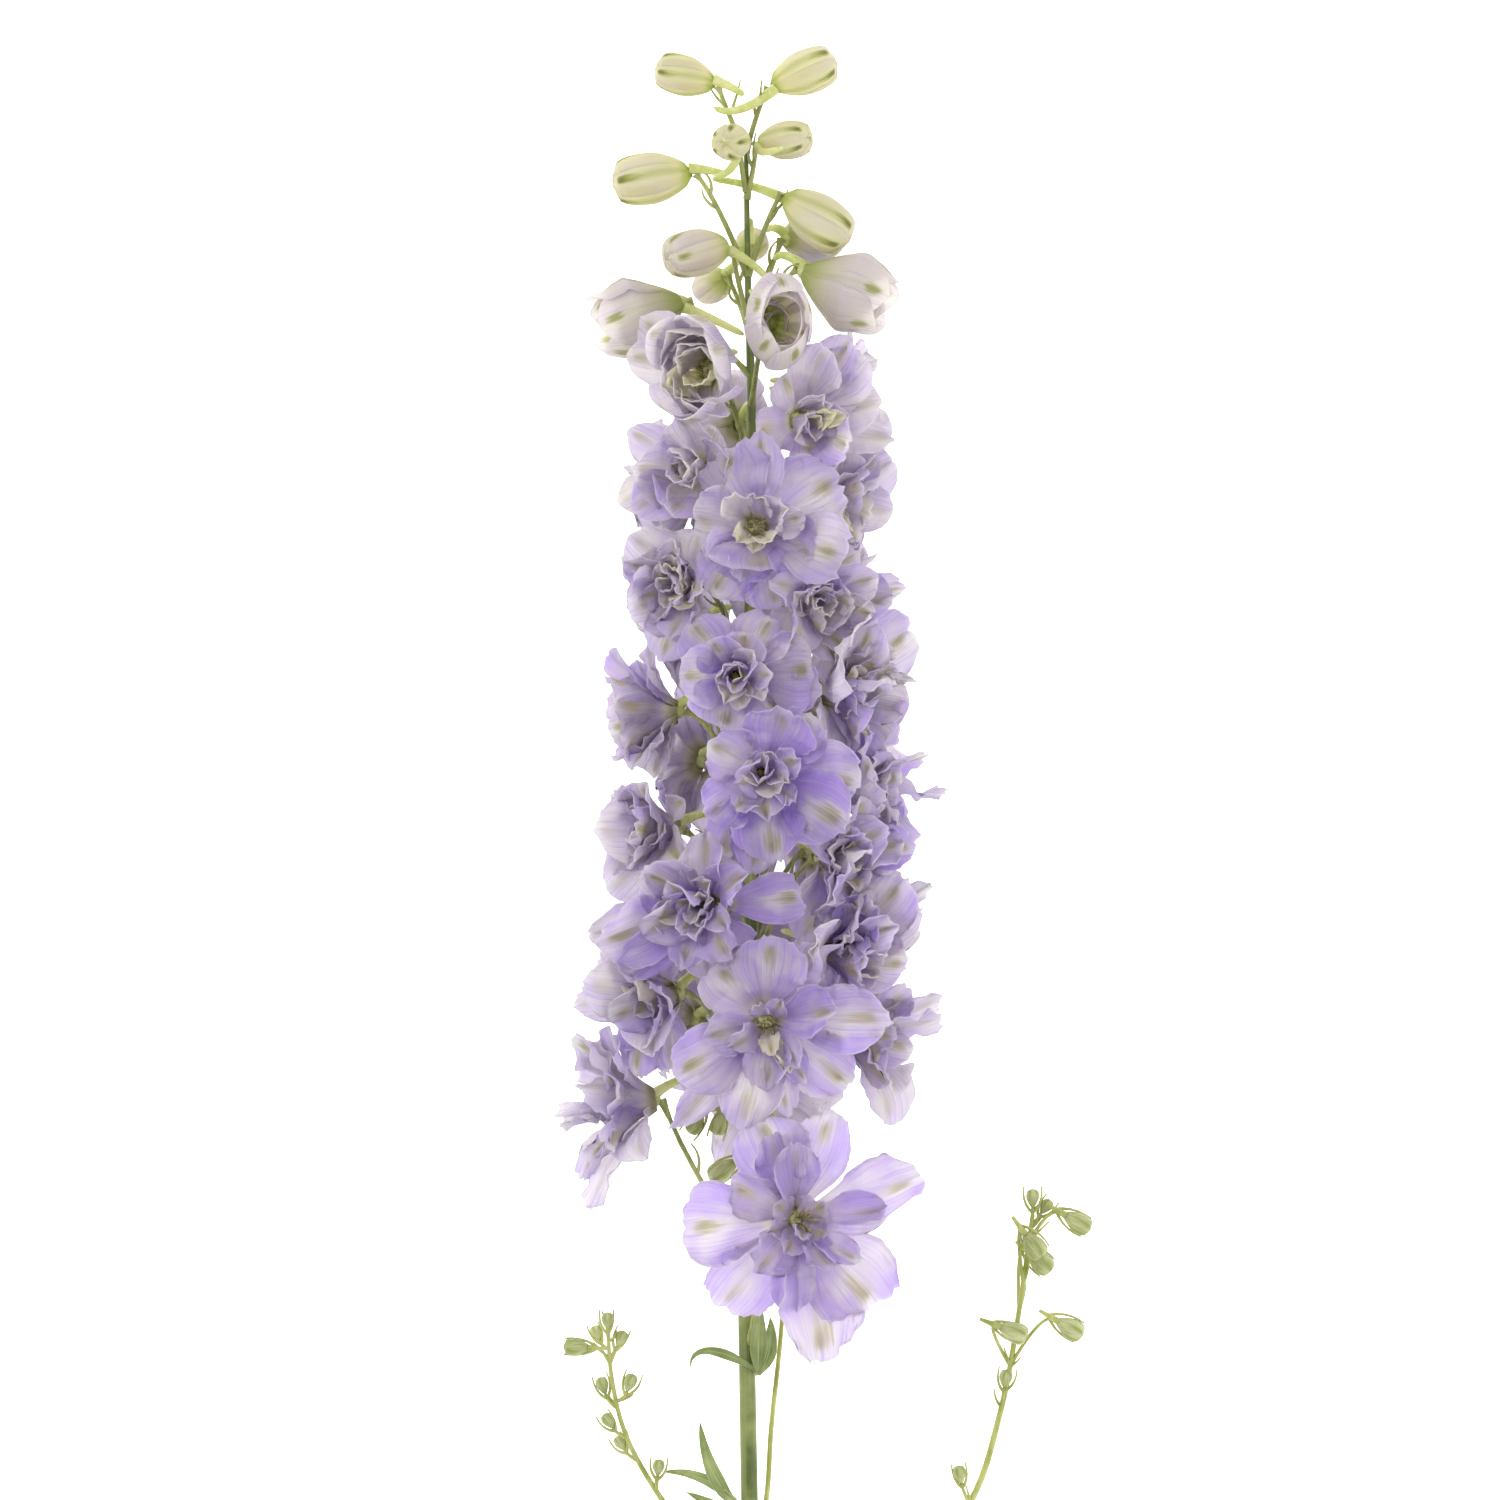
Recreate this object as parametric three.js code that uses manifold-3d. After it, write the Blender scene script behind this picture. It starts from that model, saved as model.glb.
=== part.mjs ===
// A cut delphinium spike with double, lavender flowers, lying on its back on a flat surface.
//
// Millimetres. +Y runs along the stem from the cut end to the tip, +Z is up, away from the surface,
// and the origin is on the surface, under the middle of the space that the spike takes up.
// Every flower and bud is placed by how far up the stem it sits and how far round it faces. All
// petals come from one formula, and each flower keeps to its own room between its neighbours, so
// that crowded petals bend against each other and against the surface, and never cross.

import * as THREE from "three";
import Module from "manifold-3d";
import { mergeVertices } from "three/addons/utils/BufferGeometryUtils.js";

const wasm = await Module();
wasm.setup();

const { Vector3, MathUtils } = THREE;
const { lerp, degToRad } = MathUtils;
const vec = (x, y, z) => new Vector3(x, y, z);

// ---------------------------------------------------------------- driving sizes

const STEM_X = -19; // the stem's line, left of the middle because the long side shoot leans right
const STEM_Z = 31; // height of the stem's line over the surface, as the back flowers carry it
const CUT_Y = -231; // the cut end
const GAP = 0.3; // between a pedicel and its flower, and between a shoot and the stem

// The stem: distance up from the cut end, sideways wander, radius.
const STEM = [
  [0, 0.3, 2.35],
  [60, 0.3, 2.25],
  [135, -1, 2.15],
  [190, 0, 2.0],
  [234, 0.6, 1.85],
  [312, 0, 1.55],
  [372, 0.4, 1.15],
  [405, -0.6, 0.85],
  [441, -1.1, 0.6],
];
const STEM_SIDES = 8;
const STEM_STEPS = 12;

// Open flowers: distance up the stem, degrees round it from straight up (right is positive),
// reach from the stem to the flower's base, length of its outer sepals, how open it is (0 a closed
// bud, 1 flat), and degrees that it looks up (positive) or nods.
const FLOWERS = [
  [160, 23, 27, 35, 1.0, 0],
  [190, -88, 23, 26, 0.85, -8],
  [192, 172, 16, 26, 0.8, 0],
  [207, 84, 19, 27, 0.75, -12],
  [210, -132, 17, 26, 0.8, 0],
  [212, 8, 24, 28, 0.95, -12],
  [218, -60, 20, 26, 0.8, -15],
  [222, 132, 17, 26, 0.8, 0],
  [228, 54, 20, 27, 0.9, -5],
  [229, 178, 16, 26, 0.85, 0],
  [241, -25, 20, 27, 0.85, 0],
  [244, -128, 17, 26, 0.85, 0],
  [253, 48, 22, 26, 0.85, 0],
  [254, 128, 17, 26, 0.85, 0],
  [260, -68, 19, 25, 0.7, 0],
  [264, -176, 16, 26, 0.85, 0],
  [271, 88, 20, 27, 0.85, 5],
  [275, 5, 23, 27, 0.95, 0],
  [278, -138, 17, 26, 0.85, 0],
  [287, 131, 17, 26, 0.85, 0],
  [291, -92, 17, 30, 0.6, -5],
  [296, 65, 19, 26, 0.8, 0],
  [298, 177, 16, 26, 0.85, 0],
  [300, -8, 22, 24, 0.72, 0],
  [313, -130, 17, 25, 0.85, 0],
  [318, 106, 18, 25, 0.8, 0],
  [320, 36, 19, 26, 0.85, -10],
  [324, -42, 19, 24, 0.8, -5],
  [334, 170, 16, 25, 0.85, 0],
  [338, 3, 23, 24, 1.0, 0],
  [346, -122, 16, 23, 0.8, 0],
  [347, 76, 18, 22, 0.8, -15],
  [353, -38, 19, 20, 0.55, 0],
  [366, -172, 15, 22, 0.5, 0],
  [367, 34, 18, 24, 0.75, -15],
  [372, 105, 16, 22, 0.7, 0],
  [379, -31, 18, 20, 0.42, 0],
];

// Flowers that are only half out of the bud, in the same terms, and for each how far up the stem
// its pedicel starts, the point that the pedicel bows towards, the point that its spur bows towards
// and the spur's tip. Points are up the stem, to its right and above it.
const OPENING = [
  [391, 15, 17, 21, 0.24, 0, 370, [384, 2, 9], [398, 3, 10], [400, 0, 5]],
  [397.8, -80, 16, 26, 0.2, -19, 378, [389.5, -11, -1.5], [393, -10, 3.4], [388.6, -1.6, 4]],
  [405.6, 80, 13, 27, 0.22, -22, 392, [402, 7, 0], [411.5, 8, -1], [408.5, 6.5, -3.5]],
  [414, 132, 12, 18.5, 0.35, 6, 392, [404, 5, -6], [418, 6, -7], [416, 4, -4]],
];

// Closed buds, in the same terms.
const BUDS = [
  [404, -152, 11, 15, 0, -10, 388, [398, -2.5, -5.5], [408, -3, -6.5], [409, -3, -3.5]],
  [412, 176, 8.5, 14.5, 0, 8, 396, [406, -0.6, -4.5], [417, 0, -6.5], [419, 0, -3]],
  [411.8, -60, 4.8, 20, 0, -11, 391, [403, -3.4, 1.6], [408, 0, 5.4], [403, 4.7, 5]],
  [425.6, 82, 9.2, 22, 0, -36, 404, [420.5, 4.9, 0], [428.8, 0, -5], [429.4, -9.8, -3.4]],
  [430.6, -88, 13.2, 22, 0, -6, 404, [426, -9.5, 0], [431.8, -10, 0.6], [430.2, -5.8, 1]],
  [439, 60, 4.8, 16.3, 0, 3, 424, [433, 1.4, 1], [434.5, 1.5, 8], [436.5, 8.5, 12.5]],
  [439.3, -28, 5.8, 14.5, 0, -5, 426, [434.5, -3, 1.6], [430.4, -3.5, 3.2], [429.5, -9.4, 4]],
  [453.2, 85, 5.8, 19.2, 0, 21, 436, [446.5, 1.6, 0], [444.2, -3.6, 3.8], [447.6, -9.4, 4.2]],
  [453.4, -88, 7.2, 17.2, 0, 17, 436, [446.7, -6, 0], [453.4, -4.8, 1], [451, -1.6, 1.4]],
];

// Each whorl of petals: length and width as a share of the outer sepal's length, height and radius
// of its roots, lean outwards from the flower's axis at root and tip when shut and when flat open,
// and where along the petal its blade has cross rows.
const SEPALS = {
  long: 1, wide: 1, high: 1.5, root: 2.9, lean: [55, 36], end: [-55, 100], rows: [0.42, 0.78],
};
const PETALS = {
  long: 0.66, wide: 0.74, high: 3, root: 2.2, lean: [40, 16], end: [-52, 70], rows: [0.62],
};
const HEART = {
  long: 0.4, wide: 0.3, high: 4.4, root: 1.4, lean: [30, 6], end: [-50, 20], rows: [],
};
const HIDDEN = 80; // flowers further round than this look away, and have no heart
const PETAL_COUNT = 5;
const SEPAL_WIDTH = [0.84, 0.7]; // of its length, shut and flat open
const CUPPING = [60, 12]; // half the angle that a petal's section bends through, in degrees
const TUCK = [8, 6]; // each petal leans one edge under the next, in degrees
const BESIDE = [0.56, 0.64]; // half of a petal's room between the next two, by its distance from the axis
const CLAW = 0.2; // width of a petal's root, of its full width
const WIDEST = 0.6; // where a petal is widest, of its length
const BLADE_HALF = 0.38; // half a petal's thickness along its midrib
const FRILL = 0.025; // height of the waves along a petal's edges, of its length
const BOSS = 0.8; // how far the little boss in the middle rises over the innermost whorl's roots
const SCATTER = 680.385988; // picks one of many equally likely sets of small variations

// Rooms: how petals bend clear of the plane between two flowers.
const ROOM_CLEAR = 0.55; // from the middle of a petal's thickness to the plane
const ROOM_SOFT = 4.5; // how early a petal starts to bend
const FLOOR_SOFT = 1.5; // the surface is harder than a neighbour
const OVERLAP_TILT = 0.8; // how far one flower lies over the next, as the plane's slope
const ROOM_DEPTH = 0.25; // where on its axis a flower meets its neighbours, of its sepal's length
const ROOM_PRESS = 4; // how far past its room a petal may start out before it is made shorter
const SHORTEST = 0.5; // of its length, how short such a petal may get
const BACK_REACH = 1.6; // how far petals may reach behind the flower's base
const FIRM_NEAR = 3; // round the base nothing bends, and
const FIRM_FAR = 10; // from here on petals bend freely

// ---------------------------------------------------------------- helpers

// A number from 0 to 1 that depends only on its seed.
function chance(seed) {
  const s = Math.sin(seed * 12.9898 + SCATTER) * 43758.5453;
  return s - Math.floor(s);
}

const around = (seed, spread) => (chance(seed) * 2 - 1) * spread;

function smooth(low, high, x) {
  const k = Math.min(1, Math.max(0, (x - low) / (high - low)));
  return k * k * (3 - 2 * k);
}

// A closed solid through rings of equally many points. A first or last ring of one point is a tip.
// Neighbouring quads are split in mirror image, so the two faces of a thin blade never cross.
function loft(rings) {
  const sides = Math.max(...rings.map((ring) => ring.length));
  const starts = rings.map((_, r) => rings.slice(0, r).flat().length);
  const faces = [];
  for (let r = 0; r + 1 < rings.length; r++) {
    for (let k = 0; k < sides; k++) {
      const next = (k + 1) % sides;
      const [a, b] = [starts[r] + k, starts[r] + next];
      const [c, d] = [starts[r + 1] + k, starts[r + 1] + next];
      if (rings[r].length === 1) faces.push([starts[r], d, c]);
      else if (rings[r + 1].length === 1) faces.push([a, b, starts[r + 1]]);
      else if (k % 2 === 0) faces.push([a, b, d], [a, d, c]);
      else faces.push([a, b, c], [b, d, c]);
    }
  }
  for (let k = 1; k < sides - 1; k++) {
    if (rings[0].length > 1) faces.push([0, k + 1, k]);
    const last = starts.at(-1);
    if (rings.at(-1).length > 1) faces.push([last, last + k, last + k + 1]);
  }
  return solid(rings.flat(), faces);
}

function solid(points, faces) {
  const vertProperties = new Float32Array(points.flatMap((p) => p.toArray()));
  const made = (f) =>
    new wasm.Manifold(new wasm.Mesh({ numProp: 3, vertProperties, triVerts: new Uint32Array(f.flat()) }));
  const whole = made(faces);
  return whole.volume() > 0 ? whole : made(faces.map(([a, b, c]) => [a, c, b]));
}

function solidOf(geometry) {
  const bare = new THREE.BufferGeometry();
  bare.setAttribute("position", geometry.toNonIndexed().getAttribute("position"));
  const merged = mergeVertices(bare, 1e-4);
  const vertProperties = new Float32Array(merged.getAttribute("position").array);
  const triVerts = new Uint32Array(merged.index.array);
  return new wasm.Manifold(new wasm.Mesh({ numProp: 3, vertProperties, triVerts }));
}

const joined = (solids) => solids.reduce((whole, piece) => whole.add(piece));

function geometryOf(whole) {
  const { vertProperties, triVerts } = whole.getMesh();
  const geometry = new THREE.BufferGeometry();
  geometry.setAttribute("position", new THREE.BufferAttribute(new Float32Array(vertProperties), 3));
  geometry.setIndex(new THREE.BufferAttribute(new Uint32Array(triVerts), 1));
  return geometry;
}

// A round-sided rod along a curve. radius(k) gives its radius at each step.
function rod(curve, steps, sides, radius, lastNormal) {
  const rings = [];
  const side = vec(0, 0, 0);
  for (let k = 0; k <= steps; k++) {
    const at = curve.getPoint(k / steps);
    const along = k === steps && lastNormal ? lastNormal : curve.getTangent(k / steps);
    if (k === 0) side.set(Math.abs(along.y) > 0.9 ? 1 : 0, Math.abs(along.y) > 0.9 ? 0 : 1, 0);
    side.addScaledVector(along, -side.dot(along)).normalize();
    const other = along.clone().cross(side);
    const r = radius(k / steps);
    rings.push(
      Array.from({ length: sides }, (_, j) => {
        const turn = (j / sides) * 2 * Math.PI;
        return at
          .clone()
          .addScaledVector(side, r * Math.cos(turn))
          .addScaledVector(other, r * Math.sin(turn));
      }),
    );
  }
  return loft(rings);
}

// A flat blade from rows of [left edge, middle, right edge], with its tip last. Its section is a lens.
function blade(rows, tip, half) {
  const rings = rows.map(([left, middle, right], k) => {
    const nextMiddle = k + 1 < rows.length ? rows[k + 1][1] : tip;
    const lengthways = nextMiddle.clone().sub(k > 0 ? rows[k - 1][1] : middle);
    const normal = lengthways.cross(right.clone().sub(left)).normalize();
    return [
      left,
      middle.clone().addScaledVector(normal, half),
      right,
      middle.clone().addScaledVector(normal, -half),
    ];
  });
  return loft([...rings, [tip]]);
}

// ---------------------------------------------------------------- where things are

const stemLine = new THREE.CatmullRomCurve3(
  STEM.map(([up, side]) => vec(STEM_X + side, CUT_Y + up, STEM_Z)),
);

// Reads the stem's table at a distance up from the cut end. column 1 is the wander and 2 the radius.
function stemValue(up, column) {
  const k = Math.max(1, STEM.findIndex((row) => row[0] >= up));
  const [low, high] = up > STEM.at(-1)[0] ? [STEM.at(-1), STEM.at(-1)] : [STEM[k - 1], STEM[k]];
  const share = high === low ? 0 : (up - low[0]) / (high[0] - low[0]);
  return lerp(low[column], high[column], share);
}

const stemPoint = (up) => vec(STEM_X + stemValue(up, 1), CUT_Y + up, STEM_Z);

// A flower's frame: its base, the way that it looks (facing), and two axes square to that.
function placed([up, round, reach, sepal, open, nod, ...route], name, number) {
  const turn = degToRad(round);
  const outward = vec(Math.sin(turn), 0, Math.cos(turn));
  const tilt = degToRad(nod);
  const facing = outward.clone().multiplyScalar(Math.cos(tilt)).add(vec(0, Math.sin(tilt), 0));
  const top = vec(0, 1, 0).addScaledVector(facing, -facing.y).normalize();
  const base = stemPoint(up).addScaledVector(outward, reach);
  return {
    name, number, up, round, reach, sepal, open, route, outward, facing, top, base,
    across: top.clone().cross(facing),
    // A flower lies over those further up the stem and those further round to the back.
    order: -up / 30 - Math.abs(round) / 45,
  };
}

const numbered = (rows, word, first) =>
  rows.map((row, k) => placed(row, `${word}_${String(k + 1).padStart(2, "0")}`, first + k));
const flowers = numbered(FLOWERS, "floret", 1);
const opening = numbered(OPENING, "opening_bud", 51);
const buds = numbered(BUDS, "bud", 71);
const heads = [...flowers, ...opening, ...buds];

// The planes that shut in a flower's room: one to each neighbour, the surface, and one at its back.
// A plane is its outward normal, its distance from the origin, its softness and its clearance.
function roomOf(head) {
  const planes = [
    { normal: vec(0, 0, -1), at: 0, soft: FLOOR_SOFT, clear: 0 },
    {
      normal: head.facing.clone().negate(),
      at: -head.base.dot(head.facing) + BACK_REACH,
      soft: 1,
      clear: 0,
    },
  ];
  const meets = (one) => one.base.clone().addScaledVector(one.facing, one.sepal * ROOM_DEPTH);
  for (const other of heads) {
    if (other === head) continue;
    const here = meets(head);
    const between = meets(other).sub(here);
    if (between.length() > head.sepal + other.sepal) continue;
    const out = head.outward.clone().add(other.outward);
    if (out.length() < 0.5) continue;
    out.normalize();
    const sideways = between.clone().addScaledVector(out, -between.dot(out)).normalize();
    const over = head.order > other.order ? 1 : -1;
    const normal = sideways.addScaledVector(out, -OVERLAP_TILT * over).normalize();
    const share = (head.sepal * sizeOf(head)) / (head.sepal * sizeOf(head) + other.sepal * sizeOf(other));
    const point = here.addScaledVector(between, share);
    planes.push({ normal, at: normal.dot(point), soft: ROOM_SOFT, clear: ROOM_CLEAR });
  }
  return planes;
}

// How wide a flower is for its sepals' length.
const sizeOf = (head) => lerp(0.3, 0.9, head.open);

// Moves a point of a flower into its room, the more gently the deeper inside it is. Round the base
// it stays where it is.
function intoRoom(point, head) {
  const bent = point.clone();
  for (let pass = 0; pass < 2; pass++) {
    for (const { normal, at, soft, clear } of head.room) {
      const depth = at - clear - normal.dot(bent);
      const kept = (depth + Math.hypot(depth, soft)) / 2;
      bent.addScaledVector(normal, depth - kept);
    }
  }
  const firm = smooth(FIRM_NEAR, FIRM_FAR, point.distanceTo(head.base));
  bent.lerpVectors(point, bent, firm);
  const anchor = head.base.clone().addScaledVector(head.facing, 3);
  for (const { normal, at, clear } of head.room) {
    const depth = at - clear - normal.dot(bent);
    if (depth >= 0) continue;
    const anchorDepth = at - clear - normal.dot(anchor);
    bent.lerp(anchor, -depth / (anchorDepth - depth));
  }
  return bent;
}

// ---------------------------------------------------------------- petals

// The width of a petal at a share of its length, as a share of its full width.
function outline(t) {
  const claw = CLAW + (1 - CLAW) * smooth(0, WIDEST, t);
  const past = Math.max(0, (t - WIDEST) / (1 - WIDEST));
  return claw * Math.pow(1 - past * past, 0.62);
}

// One petal of a whorl: its sizes and angles, each with a little seeded variation.
function petalOf(head, whorl, level, index) {
  const seed = head.number * 61 + level * 17 + index * 3.1;
  const { open, sepal } = head;
  const lean = degToRad(lerp(...whorl.lean, open) + around(seed + 0.3, 4));
  const end = degToRad(lerp(...whorl.end, open) + around(seed + 0.6, 12 * open + 2));
  const step = (index + (level % 2) / 2) / PETAL_COUNT;
  return {
    length: sepal * whorl.long * (1 + around(seed, 0.08)),
    half: (whorl.wide * lerp(...SEPAL_WIDTH, open) * sepal * (1 + around(seed + 0.9, 0.1))) / 2,
    lean,
    bend: end - lean,
    cup: degToRad(lerp(...CUPPING, open) + around(seed + 1.2, 6)),
    tuck: degToRad(lerp(...TUCK, open)),
    turn: 2 * Math.PI * step + around(seed + 1.5, 0.08) + around(head.number + 0.5, 0.25),
    sway: around(seed + 1.8, 0.08) * open,
    phase: chance(seed + 2.4) * 2 * Math.PI,
    room: lerp(...BESIDE, open),
    high: whorl.high,
    root: whorl.root,
  };
}

// A point in the middle of a petal's thickness. t runs from its root to its tip and a from -1 to 1
// across it. The spine is a circular arc, the section is an arc too, and the edges are waved.
function petalPoint(head, petal, t, a) {
  const { length, lean, bend, half, cup } = petal;
  const angle = lean + bend * t;
  const along = (length * (Math.sin(angle) - Math.sin(lean))) / bend;
  const out = (length * (Math.cos(lean) - Math.cos(angle))) / bend;
  const width = Math.min(half * outline(t), petal.room * (petal.root + out));
  const arc = (width * Math.sin(cup * a)) / cup;
  const ripple = Math.sin(7 * t + petal.phase + 2.2 * Math.sign(a));
  const wave = FRILL * length * Math.abs(a) * smooth(0, 0.5, t) * ripple;
  const rise = (width * (1 - Math.cos(cup * a))) / cup + wave;
  const tuck = petal.tuck * smooth(0, 0.4, t);
  const side = arc * Math.cos(tuck) - rise * Math.sin(tuck) + petal.sway * length * t * t;
  const lift = arc * Math.sin(tuck) + rise * Math.cos(tuck);
  const away = head.top
    .clone()
    .multiplyScalar(Math.cos(petal.turn))
    .addScaledVector(head.across, Math.sin(petal.turn));
  return head.base
    .clone()
    .addScaledVector(head.facing, petal.high + along + lift * Math.sin(angle))
    .addScaledVector(away, petal.root + out - lift * Math.cos(angle))
    .addScaledVector(away.clone().cross(head.facing), side);
}

// Shortens a petal until no part of it would have to bend far to stay in its flower's room.
function fitted(head, petal) {
  let short = petal;
  for (let share = 1; share > SHORTEST; share -= 0.06) {
    short = { ...petal, length: petal.length * share, half: petal.half * (0.4 + 0.6 * share) };
    const marks = [[1, 0], [0.6, -1], [0.6, 1]].map(([t, a]) => petalPoint(head, short, t, a));
    const depths = marks.flatMap((p) => head.room.map(({ normal, at }) => at - normal.dot(p)));
    if (Math.min(...depths) > -ROOM_PRESS) break;
  }
  return short;
}

// ---------------------------------------------------------------- flowers and buds

// A flower is one closed skin: a cone at its back, then for each whorl the undersides and the upper
// sides of its petals, with a neck up to the next whorl, and a small boss in the middle. A petal's
// two sides meet along its rim and lie BLADE_HALF from its middle along the midrib.
function flowerSkin(head, whorls) {
  const points = [];
  const faces = [];
  const put = (point) => points.push(point) - 1;
  const inside = (petal, t, a) => intoRoom(petalPoint(head, petal, t, a), head);
  const axisPoint = (height) => head.base.clone().addScaledVector(head.facing, height);
  const joints = 2 * PETAL_COUNT;
  let below = null;
  whorls.forEach((whorl, level) => {
    const petals = Array.from({ length: PETAL_COUNT }, (_, k) =>
      fitted(head, petalOf(head, whorl, level, k)),
    );
    const after = (k) => petals[(k + 1) % PETAL_COUNT];
    const between = petals.map((petal, k) =>
      put(inside(petal, 0, 1).lerp(inside(after(k), 0, -1), 0.5)),
    );
    const under = [];
    const over = [];
    petals.forEach((petal, k) => {
      const before = (k + PETAL_COUNT - 1) % PETAL_COUNT;
      const tip = inside(petal, 1, 0);
      const middles = [0, ...whorl.rows].map((t) => inside(petal, t, 0));
      const rows = middles.map((middle, r) => {
        const left = r === 0 ? between[before] : put(inside(petal, whorl.rows[r - 1], -1));
        const right = r === 0 ? between[k] : put(inside(petal, whorl.rows[r - 1], 1));
        const lengthways = (middles[r + 1] ?? tip).clone().sub(r > 0 ? middles[r - 1] : middle);
        const thick = points[right].clone().sub(points[left]).cross(lengthways).setLength(BLADE_HALF);
        return [left, put(middle.clone().add(thick)), put(middle.clone().sub(thick)), right];
      });
      const end = put(tip);
      for (const [side, turned] of [[1, false], [2, true]]) {
        const face = (...corners) => faces.push(turned ? corners.reverse() : corners);
        rows.forEach((row, r) => {
          const [left, middle, right] = [row[0], row[side], row[3]];
          if (r === rows.length - 1) {
            face(left, end, middle);
            face(middle, end, right);
            return;
          }
          const [nextLeft, nextMiddle, nextRight] = [rows[r + 1][0], rows[r + 1][side], rows[r + 1][3]];
          face(left, nextLeft, middle);
          face(middle, nextLeft, nextMiddle);
          face(middle, nextMiddle, nextRight);
          face(middle, nextRight, right);
        });
      }
      over.push(rows[0][1], between[k]);
      under.push(rows[0][2], between[k]);
    });
    const back = below ? null : put(axisPoint(0));
    for (let j = 0; j < joints; j++) {
      const next = (j + 1) % joints;
      if (!below) {
        faces.push([under[next], under[j], back]);
        continue;
      }
      // Each whorl is turned half a petal from the one below it.
      const [low, lowNext] = [below[(j + 1) % joints], below[(j + 2) % joints]];
      faces.push([low, lowNext, under[j]], [lowNext, under[next], under[j]]);
    }
    below = over;
  });
  const boss = put(axisPoint(whorls.at(-1).high + BOSS));
  for (let j = 0; j < joints; j++) faces.push([below[j], below[(j + 1) % joints], boss]);
  return solid(points, faces);
}

const SPUR = { root: 1.5, tip: 0.7, sides: 4, reach: 11, lift: 5 };

// The horn at the flower's back, above its pedicel.
function spurSolid(head) {
  const { base, facing, top, route } = head;
  const usual = base.clone().addScaledVector(facing, -SPUR.reach * 0.4).addScaledVector(top, SPUR.lift);
  const [bow, tip] = route.length
    ? route.slice(2).map((point) => beside(...point))
    : [usual, usual.clone().addScaledVector(facing, -SPUR.reach * 0.6)];
  const aside = bow.clone().sub(base);
  aside.addScaledVector(facing, -aside.dot(facing)).normalize();
  const root = base.clone().addScaledVector(facing, 1.7).addScaledVector(aside, 1.9);
  const line = new THREE.QuadraticBezierCurve3(root, bow, tip);
  return rod(line, route.length ? 3 : 2, SPUR.sides, (k) => lerp(SPUR.root, SPUR.tip, k));
}

// The space under the surface, which no petal sinks into.
const UNDERGROUND = new THREE.BoxGeometry(600, 600, 40).translate(0, 0, -20);

function flowerSolid(head, whorls) {
  return flowerSkin(head, whorls).add(spurSolid(head)).subtract(solidOf(UNDERGROUND));
}

const BUD_SIDES = 10;

// A closed bud: the folded sepals' ridges are waves on one closed form round the sepals' arc.
function budSolid(head) {
  const lean = degToRad(SEPALS.lean[0]);
  const bend = degToRad(SEPALS.end[0]) - lean;
  const axisPoint = (height) => head.base.clone().addScaledVector(head.facing, height);
  const ring = (t) => {
    const angle = lean + bend * t;
    const along = (head.sepal * (Math.sin(angle) - Math.sin(lean))) / bend;
    const out = (head.sepal * (Math.cos(lean) - Math.cos(angle))) / bend;
    return Array.from({ length: BUD_SIDES }, (_, k) => {
      const turn = (k / BUD_SIDES) * 2 * Math.PI + 2.5 * t * around(head.number, 0.3);
      const radius = (out + lerp(2.4, 0.5, t)) * (k % 2 ? 1.05 : 0.93);
      return axisPoint(1.2 + along)
        .addScaledVector(head.top, radius * Math.cos(turn))
        .addScaledVector(head.across, radius * Math.sin(turn));
    });
  };
  const body = loft([[axisPoint(0)], ...[0, 0.25, 0.62, 0.9].map(ring), [axisPoint(head.sepal * 0.88)]]);
  return body.add(spurSolid(head));
}

// ---------------------------------------------------------------- stem, pedicels and leaves

const PEDICEL = { root: 0.85, end: 0.65, sides: 3, steps: 3, rise: 1.05, tilt: 25 };

// A pedicel leaves the stem below its flower and bows out to it. It ends just short of the point of
// the flower's back, and further from it where it comes from the side.
function pedicelSolid(head) {
  const { base, facing, top, outward, up, reach, route } = head;
  const foot = route.length ? route[0] : up - 8 - reach * PEDICEL.rise;
  const start = stemPoint(foot);
  const tilt = degToRad(PEDICEL.tilt);
  const usual = facing.clone().multiplyScalar(Math.cos(tilt)).addScaledVector(top, Math.sin(tilt));
  const bow = route.length ? beside(...route[1]) : base.clone().addScaledVector(usual, -reach * 0.4);
  const arrives = base.clone().sub(bow).normalize();
  const short = GAP + 0.95 * Math.sin(arrives.angleTo(facing));
  const end = base.clone().addScaledVector(arrives, -short);
  const rising = start.clone().addScaledVector(outward, reach * 0.3).add(vec(0, (up - foot) * 0.5, 0));
  const line = route.length
    ? new THREE.QuadraticBezierCurve3(start, bow, end)
    : new THREE.CubicBezierCurve3(start, rising, bow, end);
  return rod(line, PEDICEL.steps, PEDICEL.sides, (k) => lerp(PEDICEL.root, PEDICEL.end, k));
}

// A leaf lobe, bract or bracteole: root, bow and tip points, its widest width, and which way is flat.
function lobe([root, bow, tip], wide, flat, half = 0.32) {
  const line = new THREE.QuadraticBezierCurve3(root, bow, tip);
  const rows = [0, 0.3, 0.65].map((t, k) => {
    const middle = line.getPoint(t);
    const side = line
      .getTangent(t)
      .cross(flat)
      .normalize()
      .multiplyScalar((wide / 2) * [0.3, 1, 0.72][k]);
    return [middle.clone().sub(side), middle, middle.clone().add(side)];
  });
  return blade(rows, tip, half);
}

// A point by the stem: how far up, to the right of the stem's line, and above it.
const beside = (up, right, above) => vec(STEM_X + right, CUT_Y + up, STEM_Z + above);

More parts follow.
